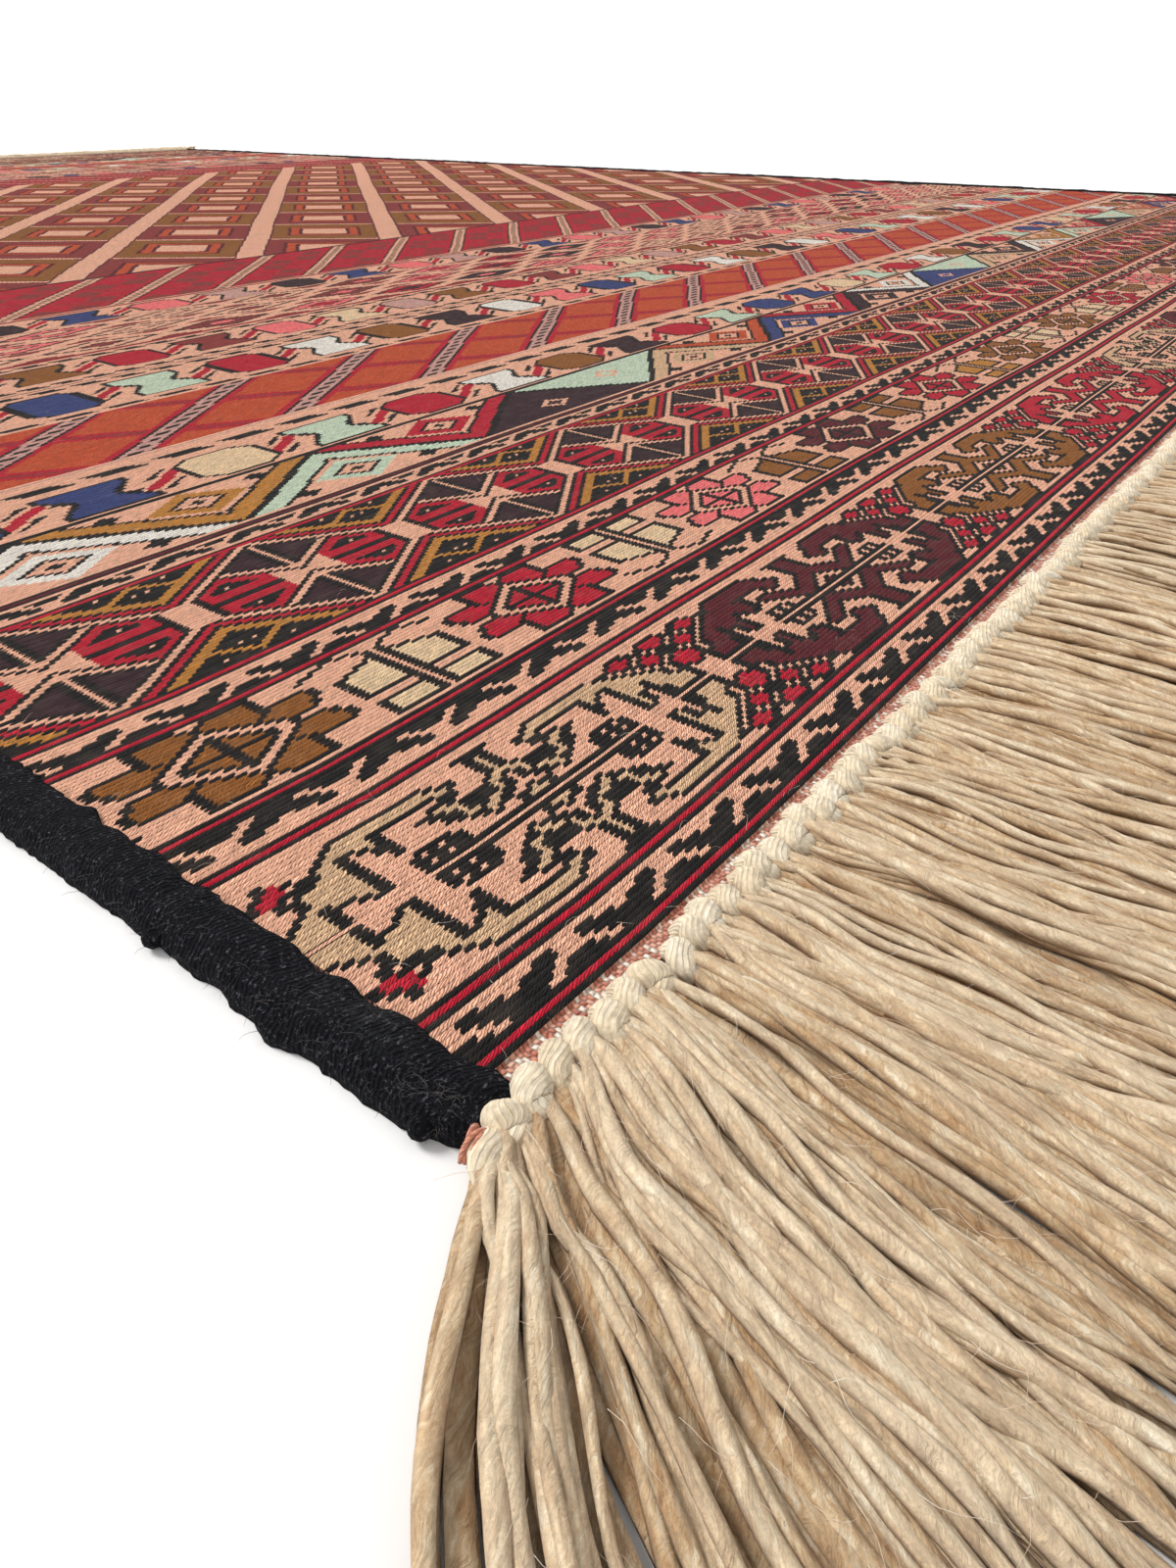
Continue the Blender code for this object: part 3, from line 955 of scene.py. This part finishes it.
def build_binding(name, side, material, step):
    """One overcast binding: a low roll of two cords side by side, uneven along its length."""
    corner = end_y(INNER_HALF_WIDTH) + BINDING_OVERRUN
    count = int(2 * corner / step)
    y = np.linspace(-corner, corner, count + 1)[:, None]
    inner = side_x(y) + GAP
    width = (RUG_WIDTH / 2 - inner) * binding_swell(y)
    height = BINDING_HEIGHT * binding_swell(y + HEIGHT_SHIFT)
    turn = np.linspace(0, math.pi, BINDING_SIDES - 1)[None, :]
    over = 0.5 - 0.5 * np.sign(np.cos(turn)) * np.abs(np.cos(turn)) ** 0.8
    rise = np.sin(turn) ** BINDING_ROUNDNESS
    groove = np.exp(-((over - 0.52) / 0.09) ** 2)
    rng = np.random.default_rng(40 + side)
    rough = rng.normal(0, 1, (count + 9, BINDING_SIDES + 1))
    rough = np.stack([rough[i:i + count + 1, j:j + BINDING_SIDES - 1]
                      for i in (2, 3, 4, 5) for j in (0, 1, 2)])
    knobs = rough.sum(axis=0) / math.sqrt(len(rough))
    from_end = part_of(corner - np.abs(y), 0.006)
    rounding = 0.45 + 0.55 * np.sqrt(1 - (1 - from_end) ** 2)
    x = inner + over * width * (1 + 0.030 * knobs * over) * rounding
    z = rise * height * (1 - 0.06 * groove) * (1 + 0.055 * knobs) * rounding
    # Its stitches reach unevenly over the edge of the cloth
    over_cloth = part_of(z - GROUND_THICKNESS - 0.0002, 0.0008) * np.clip(1 - over / 0.5, 0, 1)
    x = x - over_cloth * (0.0027 + 0.0004 * knobs + 0.0003 * wave(y, 0.017, 2 * np.sin(y * 40)))
    # A last point under the middle closes the section against the floor
    x = np.concatenate([x, inner + 0.5 * width], axis=1)
    z = np.concatenate([z, 0 * y], axis=1)
    z[:, [0, -2]] = 0.0
    points = np.stack([side * x, y + 0 * x, z], axis=-1)
    sides = points.shape[1]
    walls, first, last = tube_faces(1, count + 1, sides)
    if side > 0:
        walls, first, last = walls[:, ::-1], first[:, ::-1], last[:, ::-1]
    # Yarn ends that stick out low down on the outer side
    lump_y = np.array(BINDING_LUMPS[side])
    lump_x = side_x(lump_y) + GAP + (RUG_WIDTH / 2 - side_x(lump_y)) * binding_swell(lump_y)
    centres = np.stack([side * lump_x, lump_y, np.full(len(lump_y), LUMP_RADIUS)], axis=-1)
    lumps, lump_blocks = blobs(centres, LUMP_RADIUS)
    points = points.reshape(-1, 3)
    blocks = [walls, first, last] + [block + len(points) for block in lump_blocks]
    item = make_mesh(name, np.concatenate([points, lumps]), blocks, (material,), smooth=True)
    share = np.concatenate([over[0], [0.5]])
    uv = np.stack([np.tile(share, count + 1), np.repeat(y.ravel(), sides)], axis=-1)
    lump_uv = np.stack([0.25 + 60 * (lumps[:, 2] - LUMP_RADIUS), lumps[:, 1]], axis=-1)
    set_uv(item, "wrap", np.concatenate([uv, lump_uv]))
    return item


# ---- Fringes ----
KNOT_PITCH = 0.0070
KNOT_LENGTH = 0.0092
KNOT_INSET = 0.0024          # the outermost knots are this far in from the rug's side
CORNER_KNOT_SHIFT = 0.0036   # and hang this much further out than the rest
KNOT_RADIUS = 0.0036
KNOT_WRAPS = 9               # strands met along a knot's length
KNOT_TURNS = 13              # and round it
STRAND_RADIUS = 0.00140
KNOT_LEAN = 0.45             # share of the fringe's lean that a knot takes
FINE_FROM_X = 0.70           # where the finer part of the near fringe starts
# Three peach loops on a corner knot: shift out, reach to each side and tilt
CORNER_LOOPS = ([0.0002, 0.0014, 0.0023], [0.0030, 0.0034, 0.0033], [0.0012, -0.0007, 0.0004])


def lean(x, share):
    """Angle, from straight out, of fringe yarn rooted at x, at a share of its length."""
    to_corner = np.maximum(0.0, RUG_WIDTH / 2 - np.abs(x))
    splay = (ROOT_SPLAY + (TIP_SPLAY - ROOT_SPLAY) * share) * np.exp(-to_corner / SPLAY_REACH)
    sway = SWAY * np.sin(11.0 * x + 0.8) * np.sin(math.pi * share)
    return np.sign(x) * splay + sway


def tube_faces(count, rings, sides):
    """The walls, first ends and last ends of closed tubes, ring after ring, tube after tube."""
    n, j, i = np.mgrid[0:count, 0:rings - 1, 0:sides]
    base = n * rings * sides + j * sides
    a, b = base + i, base + (i + 1) % sides
    walls = np.stack([a, b, b + sides, a + sides], axis=-1).reshape(-1, 4)
    start = (np.arange(count) * rings * sides)[:, None]
    last = start + (rings - 1) * sides + np.arange(sides)[None, :]
    return [walls, start + np.arange(sides)[None, ::-1], last]


def tubes(centres, radii):
    """Closed tubes along rows of centres (tube, ring, xyz), with radii (tube, ring, side)."""
    along = np.gradient(centres, axis=1)
    along /= np.linalg.norm(along, axis=2, keepdims=True)
    across = np.cross(along, [0.0, 0.0, 1.0])
    across /= np.linalg.norm(across, axis=2, keepdims=True)
    upward = np.cross(across, along)
    sides = radii.shape[2]
    turn = 2 * math.pi * np.arange(sides) / sides - math.pi / 2
    points = (centres[:, :, None, :]
              + (radii * np.cos(turn))[..., None] * across[:, :, None, :]
              + (radii * np.sin(turn))[..., None] * upward[:, :, None, :])
    return points.reshape(-1, 3), tube_faces(*radii.shape)


def knot_wool():
    """Ivory yarn wound round in close, slanting turns."""
    g = Graph("knot_wool", Roughness=0.85, Sheen_Weight=0.2, Sheen_Roughness=0.4,
              Specular_IOR_Level=0.2)
    around, run, _ = g.split(g.uv("yarn"))
    loose = g.noise((around * 4.0, run * 4.0))
    wind = run * (KNOT_WRAPS / (KNOT_LENGTH * 100)) + (around * KNOT_TURNS + loose * 1.0)
    fibres = g.noise((wind * 4.0, around * 3.0), 1.0, 4.0, 0.7)
    rounded = dome(wind.fract())
    clumps = g.noise(g.place(), 420.0, 3.0, 0.6)
    tone = g.attribute("tone", "Fac")
    colour = g.ramp(fibres, [(0.25, (206, 180, 142)), (0.5, (240, 226, 200)),
                             (0.72, (254, 250, 238))])
    colour = g.mix(tone * 0.45, colour, (224, 198, 158))
    # Painted shade between the turns of yarn, lighter on their crowns; the clumps vary its tone
    light = rounded.scaled(0.0, 0.6, 0.86, 1.0) * clumps.scaled(0.35, 0.6, 0.82, 1.12)
    g.bump(rounded * 0.3 + (fibres * 0.5 + clumps * 0.7), 0.0008)
    return g.finish(g.shade(colour, light))


def strand_wool():
    """Soft, thick fringe yarn, tan and cream, loosely twisted, with its fibres on end, and painted
    shade low in the pile and down its sides.
    """
    g = Graph("strand_wool", Roughness=0.92, Sheen_Weight=0.25, Sheen_Roughness=0.6,
              Sheen_Tint=(1.0, 0.94, 0.84, 1.0), Specular_IOR_Level=0.1)
    around, run, _ = g.split(g.uv("yarn"))
    tone = g.attribute("tone", "Fac")
    sway = g.noise((around * 2.0, run * 1.2))
    twisted = around * 2.0 + run * 1.0 + sway * 1.5
    rounded = dome(twisted.fract())
    fibres = g.noise((twisted * 7.0, run * 1.4), 1.0, 5.0, 0.72)
    wisps = g.noise((around * 3.0, run * 0.9, 5.0), 1.0, 3.0, 0.6)
    fluff = g.noise(g.place(), 1500.0, 3.0, 0.7)
    colour = g.ramp(fibres * 0.5 + wisps * 0.5,
                    [(0.34, (140, 103, 68)), (0.44, (188, 151, 110)),
                     (0.53, (212, 184, 146)), (0.64, (242, 228, 202))])
    # Tone is mostly a yarn's height in the pile: painted shade makes the low yarns darker brown, and
    # painted light makes the top ones paler cream
    colour = g.mix(tone.scaled(0.05, 0.45, 0.55, 0.0), colour, (150, 108, 66))
    colour = g.mix(tone.scaled(0.5, 0.95, 0.0, 0.5), colour, (244, 230, 204))
    # Warm shade down the sides of each yarn, and in the groove between its two plies
    upper = dome(around).scaled(0.62, 0.97, 0.0, 1.0)
    colour = g.mix((1.0 - upper) * 0.75, colour, (150, 106, 64))
    # The low yarns are darkened again by their tone: painted shade under the pile
    light = rounded.scaled(0.0, 0.6, 0.9, 1.0) * tone.scaled(0.0, 0.9, 0.88, 1.03)
    light = light * upper.scaled(0.0, 1.0, 0.84, 1.06)
    light = light * fluff.scaled(0.35, 0.65, 0.88, 1.08)
    height = rounded * 0.15 + (fibres * 0.8 + fluff * 0.35)
    g.bump(height, 0.0008)
    return g.finish(g.shade(colour, light), fibres.scaled(0.2, 0.8, 0.85, 0.98))


def yarn_piece(name, centres, radii, material, tone, lengths=None, end=1):
    """A piece of many closed tubes, one tone each, turned half round to reach the -Y end.

    With lengths it has a UV map: share of the way round, and centimetres along.
    """
    count, rings, sides = radii.shape
    points, blocks = tubes(centres, radii)
    points[:, 2] = np.maximum(points[:, 2], LEAST_HEIGHT)
    item = make_mesh(name, points * np.array([end, end, 1.0]), blocks, (material,), smooth=True)
    if lengths is not None:
        around = np.broadcast_to(np.arange(sides) / sides, radii.shape)
        run = np.linspace(0, 1, rings)[None, :, None] * np.reshape(lengths, (-1, 1, 1)) * 100
        run = np.broadcast_to(run + 40.0 * np.arange(count)[:, None, None], radii.shape)
        set_uv(item, "yarn", np.stack([around, run], axis=-1).reshape(-1, 2))
    set_faces(item, "tone", np.concatenate([np.repeat(tone, (rings - 1) * sides), tone, tone]))
    return item


def knot_table(end, rng):
    """Where each knot is at one end, in the +Y form, and how it differs from its neighbours."""
    count = int((RUG_WIDTH - 2 * KNOT_INSET) / KNOT_PITCH)
    x = (np.arange(count) - (count - 1) / 2) * KNOT_PITCH + rng.uniform(-0.0008, 0.0008, count)
    further_out = CORNER_KNOT_SHIFT * np.exp(-((np.abs(x[0]) - np.abs(x)) / 0.009) ** 2)
    return {"x": x,
            "root": end_y(end * x) + GAP + further_out,
            "size": rng.uniform(0.88, 1.12, count),
            "stagger": rng.uniform(-0.0006, 0.0022, count),
            "skew": rng.normal(-0.18, 0.20, count),
            "tone": rng.uniform(0, 1, count),
            # Two rows are drawn and one is used, so that later draws stay the same
            "phase": rng.uniform(0, 2 * math.pi, (2, count))[0],
            "bend": rng.uniform(0.05, 0.10, count)}


def some_knots(knots, which):
    """Columns of the table's values for some of its knots."""
    return {key: values[which][:, None] for key, values in knots.items()}


def build_knots(name, end, knots, chosen, material, rings, sides):
    """The row of knots: short fat turns of yarn that come up over the cloth's edge and bend down."""
    t = np.linspace(0, 1, rings)[None, :]
    knot = some_knots(knots, chosen)
    run = -0.0030 + KNOT_LENGTH * t + knot["stagger"]
    angle = lean(knot["x"], 0.0 * knot["x"]) * KNOT_LEAN + knot["skew"]
    x = knot["x"] + run * np.sin(angle) + 0.0012 * wave(t, 1) * np.sign(knot["skew"])
    y = knot["root"] + run * np.cos(angle)
    z = 0.0022 + 0.0020 * np.sin(math.pi * np.minimum(1, t * 1.05)) - 0.0004 * t
    body = 0.42 + 0.58 * np.sin(0.5 * math.pi * part_of(t, 0.42))
    body = body * (1 - 0.16 * part_of(t - 0.5, 0.5) ** 2)
    body = body * np.sqrt(np.clip((1.02 - t) / 0.12, 0.05, 1))
    radius = KNOT_RADIUS * knot["size"] * body
    turn = 2 * math.pi * np.arange(sides) / sides
    wind = KNOT_WRAPS * t[..., None] + KNOT_TURNS * turn / (2 * math.pi)
    # Only knots with many rings have room for their ridges
    ridge = np.abs(np.sin(math.pi * wind / 3)) ** 0.7 if rings > 16 else 0.6
    flat = 1 - 0.14 * np.abs(np.sin(turn - math.pi / 2))
    radii = radius[..., None] * (0.97 + 0.045 * ridge) * flat
    centres = np.stack([x, y, np.maximum(z, radius * 0.82) + 0 * x], axis=-1)
    return yarn_piece(name, centres, radii, material, knot["tone"][:, 0], KNOT_LENGTH, end)


def build_strands(name, end, knots, chosen, rng, material, per_knot, rings, sides,
                  radius=STRAND_RADIUS):
    """The free yarns of the fringe: they leave the knots, sway together in locks and lie down."""
    # More of them where the fringe fans out round a corner
    fan = np.exp(-(RUG_WIDTH / 2 - np.abs(knots["x"])) / 0.10)
    index = np.repeat(np.flatnonzero(chosen), (per_knot * (1 + 2.1 * fan)).astype(int)[chosen])
    knot = some_knots(knots, index)
    count = len(index)

    def drawn(low, high):
        return rng.uniform(low, high, count)[:, None]

    fan = fan[index][:, None]
    spread = drawn(-0.0040, 0.0040)
    x0, root = knot["x"], knot["root"] + knot["stagger"]
    length = FRINGE_LENGTH * drawn(0.86, 1.0)
    share = np.linspace(0, 1, rings)[None, :]
    run = share * (length - KNOT_LENGTH + 0.004)
    bending = KNOT_LEAN + (1 - KNOT_LEAN) * part_of(run, 0.012)
    # The lowest yarns are wide and straight, and fill the gaps between the locks above them
    layer = drawn(0, 1)
    low = (layer < 0.46).astype(float)
    skew = knot["skew"] * (1 - 0.6 * low)
    angle = lean(x0 + spread, share) * bending + skew * np.exp(-run / 0.015)
    step = np.diff(run, axis=1, prepend=0)
    start = KNOT_LENGTH - 0.0062
    sideways = spread * (0.5 + 0.5 * part_of(run, 0.012)) * (1 + 1.6 * fan * share)
    across, out = np.sin(angle), np.cos(angle)
    x = x0 + sideways * out + np.cumsum(across * step, axis=1) + start * across[:, :1]
    y = root - sideways * across + start * out[:, :1] + np.cumsum(out * step, axis=1)
    locks = (0.0036 * wave(x0, 0.046, 3.5 * share + 1.0)
             + 0.0018 * wave(x0, 0.0193, -4.0 * share))
    bunch = 0.0009 * wave(run, knot["bend"], knot["phase"])
    own = 0.0010 * wave(run, drawn(0.035, 0.09), drawn(0, ANY_PHASE))
    own = own + rng.normal(0, 0.0022, count)[:, None] * share
    settle = part_of(run, 0.030) ** 1.3
    x = x + ((locks + bunch) * (1 - 0.85 * low) + own * (1 - 0.4 * low)) * settle
    thick = radius * drawn(0.70, 1.30)
    swell = 1 + 0.08 * np.sin(run * 210 + drawn(0, ANY_PHASE))
    fall = part_of(run - (length - KNOT_LENGTH - 0.009), 0.012)
    thick = thick * swell * (1 - 0.6 * fall) * (0.85 + 0.15 * part_of(run, 0.008))
    near_corner = np.maximum(0.0, RUG_WIDTH / 2 - np.abs(x0))
    loft = CORNER_LOFT * np.exp(-near_corner / SPLAY_REACH) * np.sin(math.pi * share)
    z = thick + np.maximum(0.0, layer - 0.25) * (0.0056 - 0.0021 * share + 0.8 * loft)
    z0 = 0.0016 + 0.0030 * layer
    z = z0 + (z - z0) * part_of(run, 0.016)
    z = np.maximum(z + 0.0004 * np.sin(run * 120 + drawn(0, ANY_PHASE)), thick * 0.95)
    turn = 2 * math.pi * np.arange(sides) / sides
    ply = np.cos(2 * turn[None, None, :] + 2 * math.pi * 55 * run[..., None])
    widened = 1 + low[..., None] * (0.70 * np.sin(turn) ** 2 - 0.12)
    radii = thick[..., None] * (1 + 0.07 * ply) * widened
    # Tone: partly random, and mostly the yarn's height in the pile, which the material paints as
    # shade low down and light on top
    tone = 0.25 * drawn(0, 1) + 0.20 * knot["tone"] + 0.55 * layer
    item = yarn_piece(name, np.stack([x, y, z], axis=-1), radii, material, tone[:, 0], length, end)
    return item, np.stack([end * x, end * y, z], axis=-1)


def build_corner_loops(name, end, knots, material, rings=12, sides=6):
    """A few turns of the cloth's own peach yarn over the outermost knots of one end."""
    turn = np.linspace(0.05, 0.95, rings)[None, :] * math.pi
    knot = some_knots(knots, np.array([0, 0, 0, -1, -1, -1]))
    shift, reach, tilt = (np.array(three * 2)[:, None] for three in CORNER_LOOPS)
    x = knot["x"] + reach * np.cos(turn)
    y = knot["root"] + knot["stagger"] - 0.0030 + shift + tilt * np.cos(turn)
    z = 0.0014 + reach * 1.55 * np.sin(turn)
    radii = np.full((6, rings, sides), 0.00048)
    tone = np.linspace(0, 1, 6)
    return yarn_piece(name, np.stack([x, y, z], axis=-1), radii, material, tone, 0.014, end)


def loop_wool():
    """The peach and coral yarn of the loops over the corner knots."""
    g = Graph("loop_wool", Roughness=0.9, Sheen_Weight=0.2, Specular_IOR_Level=0.15)
    around, run, _ = g.split(g.uv("yarn"))
    twisted = around * 2.0 + run * 5.0
    fibres = g.noise((twisted * 4.0, run * 9.0), 1.0, 4.0, 0.7)
    colour = g.ramp(fibres, [(0.3, (150, 84, 66)), (0.5, (206, 134, 108)),
                             (0.7, (238, 186, 162))])
    rounded = dome(twisted.fract())
    g.bump(rounded * 0.5 + fibres * 0.5, 0.0004)
    # Painted shade between the plies, lighter on their crowns
    return g.finish(g.shade(colour, rounded.scaled(0.0, 0.6, 0.7, 1.0)))


# ---- Loose fibres ----
def fuzz_wool():
    """Single fibres that stand off the yarn, dark to pale by their tone."""
    g = Graph("fuzz_wool", Roughness=0.7, Sheen_Weight=0.2, Specular_IOR_Level=0.3)
    tone = g.attribute("tone", "Fac")
    streaks = g.noise(g.place(), 600.0, 2.0)
    colour = g.ramp(tone, [(0.0, (24, 24, 30)), (0.35, (84, 74, 70)),
                           (0.6, (214, 178, 150)), (1.0, (246, 238, 222))])
    return g.finish(g.shade(colour, streaks.scaled(0.3, 0.7, 0.8, 1.1)))


def build_fuzz(name, roots, heading, longest, highest, tones, radius, rng, material, rings=6):
    """Thin curling fibres, closed three-sided tubes, from their roots on the surface.

    Lengths and heights are drawn from a range each, and so are tones that aren't given singly.
    """
    count = len(roots)
    step = rng.uniform(*longest, count)[:, None] / (rings - 1)
    lift = rng.uniform(*highest, count)[:, None]
    tone = rng.uniform(*tones, count) if isinstance(tones, tuple) else tones
    share = np.linspace(0, 1, rings)[None, :]
    curl = rng.normal(0, 0.8, count)[:, None]
    phase = rng.uniform(0, ANY_PHASE, count)[:, None]
    angle = heading[:, None] + curl * share + 0.35 * np.sin(5 * share + phase)
    x = roots[:, 0:1] + np.cumsum(np.cos(angle) * step, axis=1)
    y = roots[:, 1:2] + np.cumsum(np.sin(angle) * step, axis=1)
    z = roots[:, 2:3] + lift * np.sin(2.6 * share) + LEAST_HEIGHT
    radii = np.repeat((radius * (1 - 0.6 * share) * np.ones((count, 1)))[..., None], 3, axis=2)
    return yarn_piece(name, np.stack([x, y, z], axis=-1), radii, material, tone)


def cloth_fuzz(count, rng, material):
    """Loose fibres all over the cloth, more of them towards the near left corner."""
    gather = rng.uniform(0, 1, (2, count))
    gather = gather ** np.where(rng.uniform(0, 1, count) < 0.7, 2.2, 1.0)
    x = (2 * gather[0] - 1) * (INNER_HALF_WIDTH - 0.008)
    y = (2 * gather[1] - 1) * (HALF_LENGTH - 0.008)
    roots = np.stack([x, y, np.full(count, GROUND_THICKNESS)], axis=-1)
    dark = rng.uniform(0, 1, count) < 0.3
    tone = np.where(dark, rng.uniform(0.0, 0.3, count), rng.uniform(0.55, 1.0, count))
    heading = rng.uniform(0, ANY_PHASE, count)
    return build_fuzz("fibres_on_cloth", roots, heading, (0.002, 0.007), (0.0002, 0.0012), tone,
                      0.00004, rng, material, rings=5)


def binding_fuzz(name, side, count, rng, material):
    """Short dark fibres round a binding, more of them towards the near end of the left one."""
    gather = rng.uniform(0, 1, count) ** np.where(side < 0, 2.2, 1.0)
    y = (2 * gather - 1) * (end_y(INNER_HALF_WIDTH) - 0.005)
    over = rng.uniform(0.1, 0.98, count)
    inner = side_x(y) + GAP
    x = side * (inner + over * (RUG_WIDTH / 2 - inner) * binding_swell(y))
    z = BINDING_HEIGHT * binding_swell(y + HEIGHT_SHIFT)
    z = z * np.sin(math.pi * over) ** BINDING_ROUNDNESS * 0.9
    heading = np.where(side < 0, math.pi, 0.0) + rng.normal(0, 1.1, count)
    roots = np.stack([x, y, np.maximum(z, 0.0012)], axis=-1)
    return build_fuzz(name, roots, heading, (0.0012, 0.0042), (0.0002, 0.0010), (0.0, 0.36),
                      0.00006, rng, material, rings=4)


def fringe_fuzz(name, paths, count, rng, material):
    """Long curling fibres off the fringe yarns, from points along their paths."""
    which = rng.integers(0, len(paths), count)
    at = rng.integers(0, paths.shape[1] - 3, count)
    roots = paths[which, at] + np.array([0, 0, STRAND_RADIUS])
    ahead = paths[which, at + 1] - paths[which, at]
    heading = np.arctan2(ahead[:, 1], ahead[:, 0]) + rng.normal(0, 0.35, count)
    return build_fuzz(name, roots, heading, (0.004, 0.014), (0.0002, 0.0018), (0.5, 1.0),
                      0.00005, rng, material)


# ---- Stage, light and camera ----
FLOOR_REACH = 30.0
FLOOR_DROP = 0.0002          # it lies this far under the rug, so that no faces share a plane


def build_stage():
    g = Graph("pale_floor", Roughness=0.85, Specular_IOR_Level=0.2)
    speckle = g.noise(g.place(), 3.0, 3.0)
    colour = g.ramp(speckle, [(0.3, (0.86, 0.86, 0.86, 1.0)), (0.7, (0.89, 0.89, 0.89, 1.0))])
    material = g.finish(colour)
    corners = [(x, y, 0) for x, y in ((-1, -1), (1, -1), (1, 1), (-1, 1))]
    blocks = [np.array([[0, 1, 2, 3]])]
    floor = make_mesh("floor", np.array(corners) * FLOOR_REACH, blocks, (material,))
    floor.location.z = -FLOOR_DROP


def build_light():
    """A pale sky, brightest at the horizon, and one broad window light from beyond the rug."""
    world = bpy.data.worlds.new("soft_daylight")
    bpy.context.scene.world = world
    world.use_nodes = True
    tree = world.node_tree
    background = tree.nodes["Background"]
    background.inputs["Color"].default_value = (1.0, 1.0, 1.0, 1.0)
    direction = tree.nodes.new("ShaderNodeTexCoord")
    parts = tree.nodes.new("ShaderNodeSeparateXYZ")
    sky = tree.nodes.new("ShaderNodeMapRange")
    tree.links.new(direction.outputs["Generated"], parts.inputs[0])
    tree.links.new(parts.outputs["Z"], sky.inputs["Value"])
    for key, number in (("From Min", 0.10), ("From Max", 0.45), ("To Min", 1.10), ("To Max", 0.68)):
        sky.inputs[key].default_value = number
    tree.links.new(sky.outputs["Result"], background.inputs["Strength"])
    data = bpy.data.lights.new("window", "SUN")
    data.energy = 2.7
    data.angle = math.radians(22)
    data.color = (1.0, 0.98, 0.95)
    item = add_object("window", data)
    item.rotation_euler = Vector((0.25, -1.0, -0.95)).to_track_quat("-Z", "Y").to_euler()
    bpy.context.scene.view_settings.view_transform = "Standard"


def build_camera(place=(-1.0699, -1.5812, 0.153), pitch=31.476, yaw=37.645, roll=0.204):
    """Low over the rug's near left corner, looking across it. The angles are in degrees."""
    pitch, yaw, roll = (math.radians(angle) for angle in (pitch, yaw, roll))
    level = math.cos(pitch)
    forward = Vector((math.cos(yaw) * level, math.sin(yaw) * level, -math.sin(pitch)))
    right = Vector((math.sin(yaw), -math.cos(yaw), 0.0))
    down = forward.cross(right)
    rolled_right = right * math.cos(roll) + down * math.sin(roll)
    rolled_up = right * math.sin(roll) - down * math.cos(roll)
    axes = Matrix((rolled_right, rolled_up, -forward)).transposed()
    data = bpy.data.cameras.new("camera")
    data.lens = 23.79
    data.shift_y = -0.0388
    data.clip_start = 0.01
    item = add_object("camera", data)
    item.matrix_world = Matrix.Translation(place) @ axes.to_4x4()
    bpy.context.scene.camera = item


build_camera()
build_light()
build_stage()
rng = np.random.default_rng(SEED)

cloth = build_cloth(whole_pattern())
navy = overcast_wool()
# The right binding is far from the camera, and its sections lie further apart
bindings = {-1: build_binding("overcast_binding_left", -1, navy, BINDING_STEP),
            1: build_binding("overcast_binding_right", 1, navy, 2 * BINDING_STEP)}

# The fringe by the near left corner is made finer than the rest. Its knots have a large x here,
# because each end's table is in the +Y form, and the near end is turned half round.
ivory, tan = knot_wool(), strand_wool()
near = knot_table(-1, rng)
fine = near["x"] > FINE_FROM_X
near_knots = [build_knots("knots_near_corner", -1, near, fine, ivory, rings=28, sides=14),
              build_knots("knots_near", -1, near, ~fine, ivory, rings=11, sides=8)]
corner_strands, corner_paths = build_strands("strands_near_corner", -1, near, fine, rng, tan,
                                             per_knot=6.5, rings=26, sides=6)
near_strands, near_paths = build_strands("strands_near", -1, near, ~fine, rng, tan,
                                         per_knot=5.6, rings=14, sides=5, radius=0.00138)
far = knot_table(1, rng)
every = np.ones(len(far["x"]), bool)
far_knots = build_knots("knots_far", 1, far, every, ivory, rings=8, sides=8)
far_strands, far_paths = build_strands("strands_far", 1, far, every, rng, tan, per_knot=3.5,
                                       rings=10, sides=5, radius=0.0018)
peach = loop_wool()
near_loops = build_corner_loops("corner_loops_near", -1, near, peach)
far_loops = build_corner_loops("corner_loops_far", 1, far, peach)

loose = fuzz_wool()
cloth_fibres = cloth_fuzz(1100, rng, loose)
binding_fibres = {-1: binding_fuzz("fibres_on_left_binding", -1, 1500, rng, loose),
                  1: binding_fuzz("fibres_on_right_binding", 1, 250, rng, loose)}
corner_fibres = fringe_fuzz("fibres_on_near_corner", corner_paths, 1000, rng, loose)
near_fibres = fringe_fuzz("fibres_on_near_fringe", near_paths, 500, rng, loose)
far_fibres = fringe_fuzz("fibres_on_far_fringe", far_paths, 200, rng, loose)
fringe = {-1: near_knots + [corner_strands, near_strands, near_loops, corner_fibres, near_fibres],
          1: [far_knots, far_strands, far_loops, far_fibres]}

for node, slot, pieces in (
        ("woven_ground", "woven_ground", [cloth, cloth_fibres]),
        ("side_binding_left", "side_binding", [bindings[-1], binding_fibres[-1]]),
        ("side_binding_right", "side_binding", [bindings[1], binding_fibres[1]]),
        ("fringe_comb_near", "fringe_yarn", fringe[-1]),
        ("fringe_comb_far", "fringe_yarn", fringe[1])):
    for piece in pieces:
        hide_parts(node)
trims = [cloth_fibres, *bindings.values(), *binding_fibres.values(), *fringe[-1], *fringe[1]]
for piece in [cloth, *trims]:
    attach(piece, "root")
